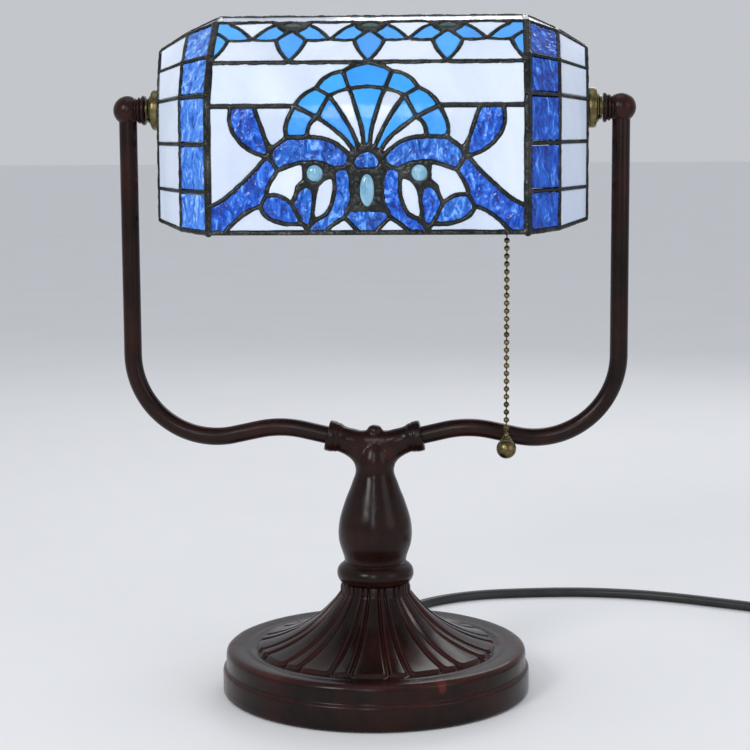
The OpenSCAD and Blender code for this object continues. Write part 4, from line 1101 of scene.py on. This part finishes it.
# glass: outer face rippled, inner face smooth
rng = np.random.default_rng(5)
turn = rng.uniform(-0.5, 0.5, len(kinds))
theta = turn[lab_all]
uu = UU * np.cos(theta) + VV * np.sin(theta)
vv_ = -UU * np.sin(theta) + VV * np.cos(theta)
q = np.stack([uu / 1.5, vv_ / 3.4, lab_all * 3.7], -1)
warp = vnoise(np.stack([uu / 4.0, vv_ / 4.0, lab_all * 1.3], -1), 70)
q = q + warp[..., None] * 0.8
ridge_n = 1 - np.abs(vnoise(q, 71)) * 2
fine = vnoise(q * 2.3, 72)
ripple = 0.30 * ridge_n + 0.10 * fine
calm = 0.10 * vnoise(np.stack([UU / 9, VV / 14, UU * 0], -1), 73)
calm = calm + 0.02 * vnoise(np.stack([UU / 2.5, VV / 2.5, UU * 0], -1), 74)
height = np.where(kind_all == "cobalt", ripple - 0.05, calm)
glass_out = place(T + height)
glass_in = place(0.03 * calm)
pane_ok = cov_all < 0.62
second_tone = np.random.default_rng(12).random(len(kinds)) < 0.42
tone_all = second_tone[lab_all]
same = (lab_all[:-1, :-1] == lab_all[1:, 1:]) & (lab_all[1:, :-1] == lab_all[:-1, 1:])
groups = []
for side, a, b in (("front", 0, mid_k), ("back", mid_k, n_v)):
    groups += [(f"{side}_{kind}_panes", kind, a, b, kind, f"{side}_{kind}_glass")
               for kind in ("white", "sky", "cobalt")]
groups.insert(3, ("roof_panes", "top", 0, n_v, "white", "top_glass"))
tones = {"white": (WHITE, WHITE_2), "sky": (SKY, SKY_2), "cobalt": (COBALT, COBALT_3)}
for name, kind, a, b, look_kind, rep in groups:
    rep = (rep,)
    for deeper, mat in enumerate(tones[look_kind]):
        is_k = (kind_all == kind) & pane_ok & (tone_all == deeper)
        m = is_k[:-1, :-1] & is_k[1:, :-1] & is_k[1:, 1:] & is_k[:-1, 1:] & same
        m[:, :a] = False
        m[:, b:] = False
        if m.any():
            v, f = slab(glass_out, glass_in, m)
            make(name + ("_deeper" if deeper else ""), v, f, mat, "shade", look_kind + "_glass", rep)
            rep = ()

# ---------- jewels ----------
def jewel_shell(cu, cv, a, b, tall, n=9, m=40):
    """A cabochon standing tall on the sheet at (cu, cv), with half sizes a and b and a flat back."""
    (py, pz), (ny, nz) = sheet_frame(np.array(cv))
    turns_m = [2 * math.pi * j / m for j in range(m)]

    def loop(along_u, along_v, lift):
        pts = [(cu + along_u * math.cos(t), cv + along_v * math.sin(t) - cv) for t in turns_m]
        return [(pu, py + nz * tv + ny * lift, pz - ny * tv + nz * lift) for pu, tv in pts]

    verts = []
    for k in range(n + 1):
        t = k / n * math.pi / 2
        verts += loop((a + 0.3) * math.cos(t), (b + 0.3) * math.cos(t), T - 0.2 + tall * math.sin(t))
    verts += loop(a, b, 0.1)
    lo = (n + 1) * m
    steps = [(j, (j + 1) % m) for j in range(m)]
    faces = [(k * m + j, k * m + j2, (k + 1) * m + j2, (k + 1) * m + j) for k in range(n) for j, j2 in steps]
    faces += [(lo + j, lo + j2, j2, j) for j, j2 in steps]
    faces.append(tuple(range(lo + m - 1, lo - 1, -1)))
    return np.array(verts), faces


for side in ("front", "back"):
    for i, (cu, cv, a, b) in enumerate(jewel_list):
        # the three low jewels are taller and aqua, the frieze's are dark
        tall, mat = (2.3, AQUA) if i < 3 else (1.4, DARKJEWEL)
        v, f = mirrored(*jewel_shell(cu, cv, a, b, tall), False, side == "back")
        rep = ("jewels",) if side == "front" and i == 0 else ()
        v = v + 0.05 * fbm(v / 1.8, 2, 80)[:, None]
        make(f"jewel_{side}_{i + 1}", v, f, mat, "shade", "aqua_glass", rep, 60)

# ---------- ends of the shade ----------
# corner points of the panes, bottom to top: F on the long panel, E between, G on the flat end, R on the ridge
F = np.array([[84, -57.5, -66], [84, -57.5, -44.5], [84, -57.5, -19.5], [84, -55.6, 6], [84, -42.3, 26],
              [84, y3, z3]])
E = np.array([[100, -40, -64.5], [100, -40, -44], [100, -40, -19], [100, -38.1, 5.6], [100, -26, 23.8],
              [100, -6, 39.5]])
G = np.array([[115.5, -14, -60.5], [115.5, -14, -43], [115.5, -14, -18.5], [115.5, -12.6, 4], [115.5, -8, 20],
              [115.5, -3, 31]])
R = np.array([[84, 0, 48], [100, 0, 40.9], [115.5, 0, 31.7]])


def back(p):
    return p * [1, -1, 1]


quads = []
for i in range(5):
    quads.append(([F[i], E[i], E[i + 1], F[i + 1]], "strip", 1.5))
    quads.append(([E[i], G[i], G[i + 1], E[i + 1]], "side", 1.0))
quads.append(([F[5], E[5], R[1], R[0]], "hip", 1.0))
quads.append(([E[5], G[5], R[2], R[1]], "hip", 1.0))
flat_quads = [[G[i], back(G[i]), back(G[i + 1]), G[i + 1]] for i in range(5)]


def plate(q, inset, ripple_amp, seed, hole=None):
    """Pane in the flat quad q: outer face rippled by ripple_amp, inner face flat."""
    q = [np.array(p, float) for p in q]
    n = unit(np.cross(q[1] - q[0], q[3] - q[0]))
    along, up = np.linalg.norm(q[1] - q[0]), np.linalg.norm(q[3] - q[0])
    nu = max(8, int(max(along, np.linalg.norm(q[2] - q[3])) / 0.75))
    nv = max(8, int(max(up, np.linalg.norm(q[2] - q[1])) / 0.75))
    su, sv = inset / max(along, 2 * inset + 0.1), inset / max(up, 2 * inset + 0.1)
    a = np.linspace(su, 1 - su, nu)[:, None, None]
    b = np.linspace(sv, 1 - sv, nv)[None, :, None]
    base = (1 - a) * (1 - b) * q[0] + a * (1 - b) * q[1] + a * b * q[2] + (1 - a) * b * q[3]
    if ripple_amp > 0.15:
        th = rng.uniform(-0.6, 0.6)
        ca, cb = np.broadcast_arrays(a[..., 0] * 18, b[..., 0] * 24)
        x, y = ca * math.cos(th) + cb * math.sin(th), -ca * math.sin(th) + cb * math.cos(th)
        w = vnoise(np.stack([x / 3.5, y / 3.5, x * 0 + seed], -1), 90)
        g = np.stack([x / 1.5, y / 3.0, x * 0 + seed * 2.3], -1) + 0.8 * w[..., None]
        r = ripple_amp * (1 - 2 * np.abs(vnoise(g, 91))) + 0.1 * vnoise(g * 2.4, 92)
    else:
        r = ripple_amp * vnoise(base / 8.0, 93)
    out = base + n * (T - 0.1 + r)[..., None]
    cells = np.ones((nu - 1, nv - 1), bool)
    if hole is not None:
        c = 0.25 * (base[:-1, :-1] + base[1:, :-1] + base[1:, 1:] + base[:-1, 1:])
        cells = np.hypot(c[..., 1], c[..., 2]) > hole
    return slab(out + [0, 0, PZ], base + n * 0.1 + [0, 0, PZ], cells)


cobalt_cols, cobalt_pale, white_ends = Soup(), Soup(), Soup()
for k, (quad, what, inset) in enumerate(quads):
    for mx in (0, 1):
        for my in (0, 1):
            v, f = plate(quad, inset, 0.3 if what == "strip" else 0.05, k * 4 + mx * 2 + my)
            store = white_ends if what != "strip" else (cobalt_pale if mx != my else cobalt_cols)
            store.add(*mirrored(v, f, mx, my))
R_HOLE = 4.6
for k, quad in enumerate(flat_quads):
    for mx in (0, 1):
        v, f = plate(quad, 1.0, 0.05, 60 + k * 2 + mx, R_HOLE)
        white_ends.add(*mirrored(v, f, mx))
make("corner_cobalt_panes", *cobalt_cols.done(), COBALT, "shade", "cobalt_glass", ("corner_glass",))
make("corner_cobalt_panes_pale", *cobalt_pale.done(), COBALT_2, "shade", "cobalt_glass")
make("end_white_panes", *white_ends.done(), WHITE, "shade", "white_glass", ("end_glass",))


def out_normal(p, x, y_size, z_size, z_shift=0.0):
    """Outward direction of the solder at joint p of the end frame, level below the bend."""
    rise = 0 if p[2] < 3 else (p[2] + z_shift) / z_size
    return unit(np.array([x, p[1] / y_size, rise]))


def bead(p, q, n_p, n_q, half, seed):
    """A lumpy run of solder from p to q, half mm wide each way, through the glass thickness."""
    n = max(3, int(np.linalg.norm(q - p) / 1.4))
    t = np.linspace(0, 1, n)[:, None]
    nn = unit((1 - t) * n_p + t * n_q)
    path = (1 - t) * p + t * q + nn * (T / 2)
    width = half * (1 + 0.12 * vnoise(path / 3.0, seed) + 0.08 * vnoise(path / 1.3, seed + 1))
    return sweep(path, width, 12, nn, 1.95 * (1 + 0.1 * vnoise(path / 2.4, seed + 2)))


net = Soup()
nF = [out_normal(p, 0.35, 57.5 if p[2] < 7 else 62, 48, 6) for p in F]
nE = [out_normal(p, 0.72, 50, 52) for p in E]
nG = [out_normal(p, 1.0, 34, 60) for p in G]
nR = [unit(np.array([0.05, 0, 1.0])), unit(np.array([0.45, 0, 1.0])), unit(np.array([0.7, 0, 1.0]))]
runs = []
for i in range(5):
    for P, nP, w in ((F, nF, 1.95), (E, nE, 1.45), (G, nG, 1.25)):
        runs.append((P[i], P[i + 1], nP[i], nP[i + 1], w))
for i in range(6):
    w = 1.55 if i in (0, 5) else 1.15
    runs += [(F[i], E[i], nF[i], nE[i], w), (E[i], G[i], nE[i], nG[i], w * 0.95)]
runs += [(F[5], R[0], nF[5], nR[0], 1.7), (E[5], R[1], nE[5], nR[1], 1.3), (G[5], R[2], nG[5], nR[2], 1.3)]
runs_mid = [(R[0], R[1], nR[0], nR[1], 1.4), (R[1], R[2], nR[1], nR[2], 1.4)]
for i in range(6):
    runs_mid.append((G[i], back(G[i]), nG[i], back(nG[i]), 1.5 if i == 0 else 1.1))
for k, (a, b, na, nb, w) in enumerate(runs):
    for p, q, n_p, n_q in ((a, b, na, nb), (back(a), back(b), back(na), back(nb))):
        net.add(*bead(p, q, n_p, n_q, w, 100 + 3 * k))
        net.add(*ball_shell(q + n_q * (T / 2), w * 1.12, 8, 12))
        net.add(*ball_shell(p + n_p * (T / 2), w * 1.12, 8, 12))
for k, (a, b, na, nb, w) in enumerate(runs_mid):
    net.add(*bead(a, b, na, nb, w, 200 + 3 * k))
    net.add(*ball_shell(b + nb * (T / 2), w * 1.12, 8, 12))
# reinforcing plate of solder round the pivot
boss = [(4.1, 114.9), (9.2, 114.9), (9.6, 115.9), (9.4, 117.4), (8.6, 117.95), (4.1, 117.95)]


def lumpy(co, n):
    return co + n * (0.10 * fbm(co / 1.9, 2, 130))[:, None]


net_v, net_f = net.done()
for side, is_left in (("right", False), ("left", True)):
    v, f = mirrored(net_v + [0, 0, PZ], net_f, is_left)
    remesh("end_solder_" + side, v, f, 0.5, SOLDER, "shade", "solder", ("end_came_" + side,), 2, lumpy)
    v, f = revolve(boss, 48, True)
    v = along_x(v, is_left)
    v = v + 0.08 * fbm(v / 2, 2, 131)[:, None]
    make("pivot_boss_" + side, v, f, SOLDER, "shade", "solder", (), 60)

# ---------- studio ----------
FLOOR = 40.0
me = bpy.data.meshes.new("floor")
me.from_pydata([(x * FLOOR, y * FLOOR, 0.0) for x, y in ((-1, -1), (1, -1), (1, 1), (-1, 1))], [],
               [(0, 1, 2, 3)])
floor = add_piece("floor", me, None, ())
fm, nt, b = new_material("pale_floor")
n1 = noise_tex(nt, coords(nt), 6, 3)
nt.links.new(ramp(nt, n1, [(0.3, (0.87, 0.875, 0.885)), (0.7, (0.89, 0.895, 0.905))]), b.inputs["Base Color"])
b.inputs["Roughness"].default_value = 0.7
floor.data.materials.append(fm)

world = bpy.data.worlds.new("studio")
scene.world = world
world.use_nodes = True
bg = world.node_tree.nodes["Background"]
bg.inputs[0].default_value = (0.62, 0.64, 0.68, 1)
bg.inputs[1].default_value = 0.88


def area(name, loc, target, size, power, color=(1, 1, 1)):
    ld = bpy.data.lights.new(name, "AREA")
    ld.shape = "RECTANGLE"
    ld.size, ld.size_y = size
    ld.energy = power
    ld.color = color
    o = bpy.data.objects.new(name, ld)
    o.location = loc
    o.rotation_euler = (Vector(target) - Vector(loc)).to_track_quat("-Z", "Y").to_euler()
    scene.collection.objects.link(o)


area("key", (-0.75, -1.2, 0.95), (0, 0, 0.2), (0.4, 0.5), 8, (1, 0.985, 0.96))
area("strip", (-0.1, -1.5, 0.75), (0, 0, 0.2), (0.14, 0.8), 3.2)
area("fill", (1.1, -0.8, 0.6), (0, 0, 0.25), (0.6, 0.8), 2, (0.94, 0.97, 1))
area("rim", (0.3, 1.2, 1.0), (0, 0, 0.25), (0.9, 0.5), 3.5)
area("top", (0, 0.1, 1.6), (0, 0, 0.2), (0.8, 0.8), 1.5)
scene.view_settings.view_transform = "Standard"
scene.view_settings.look = "None"
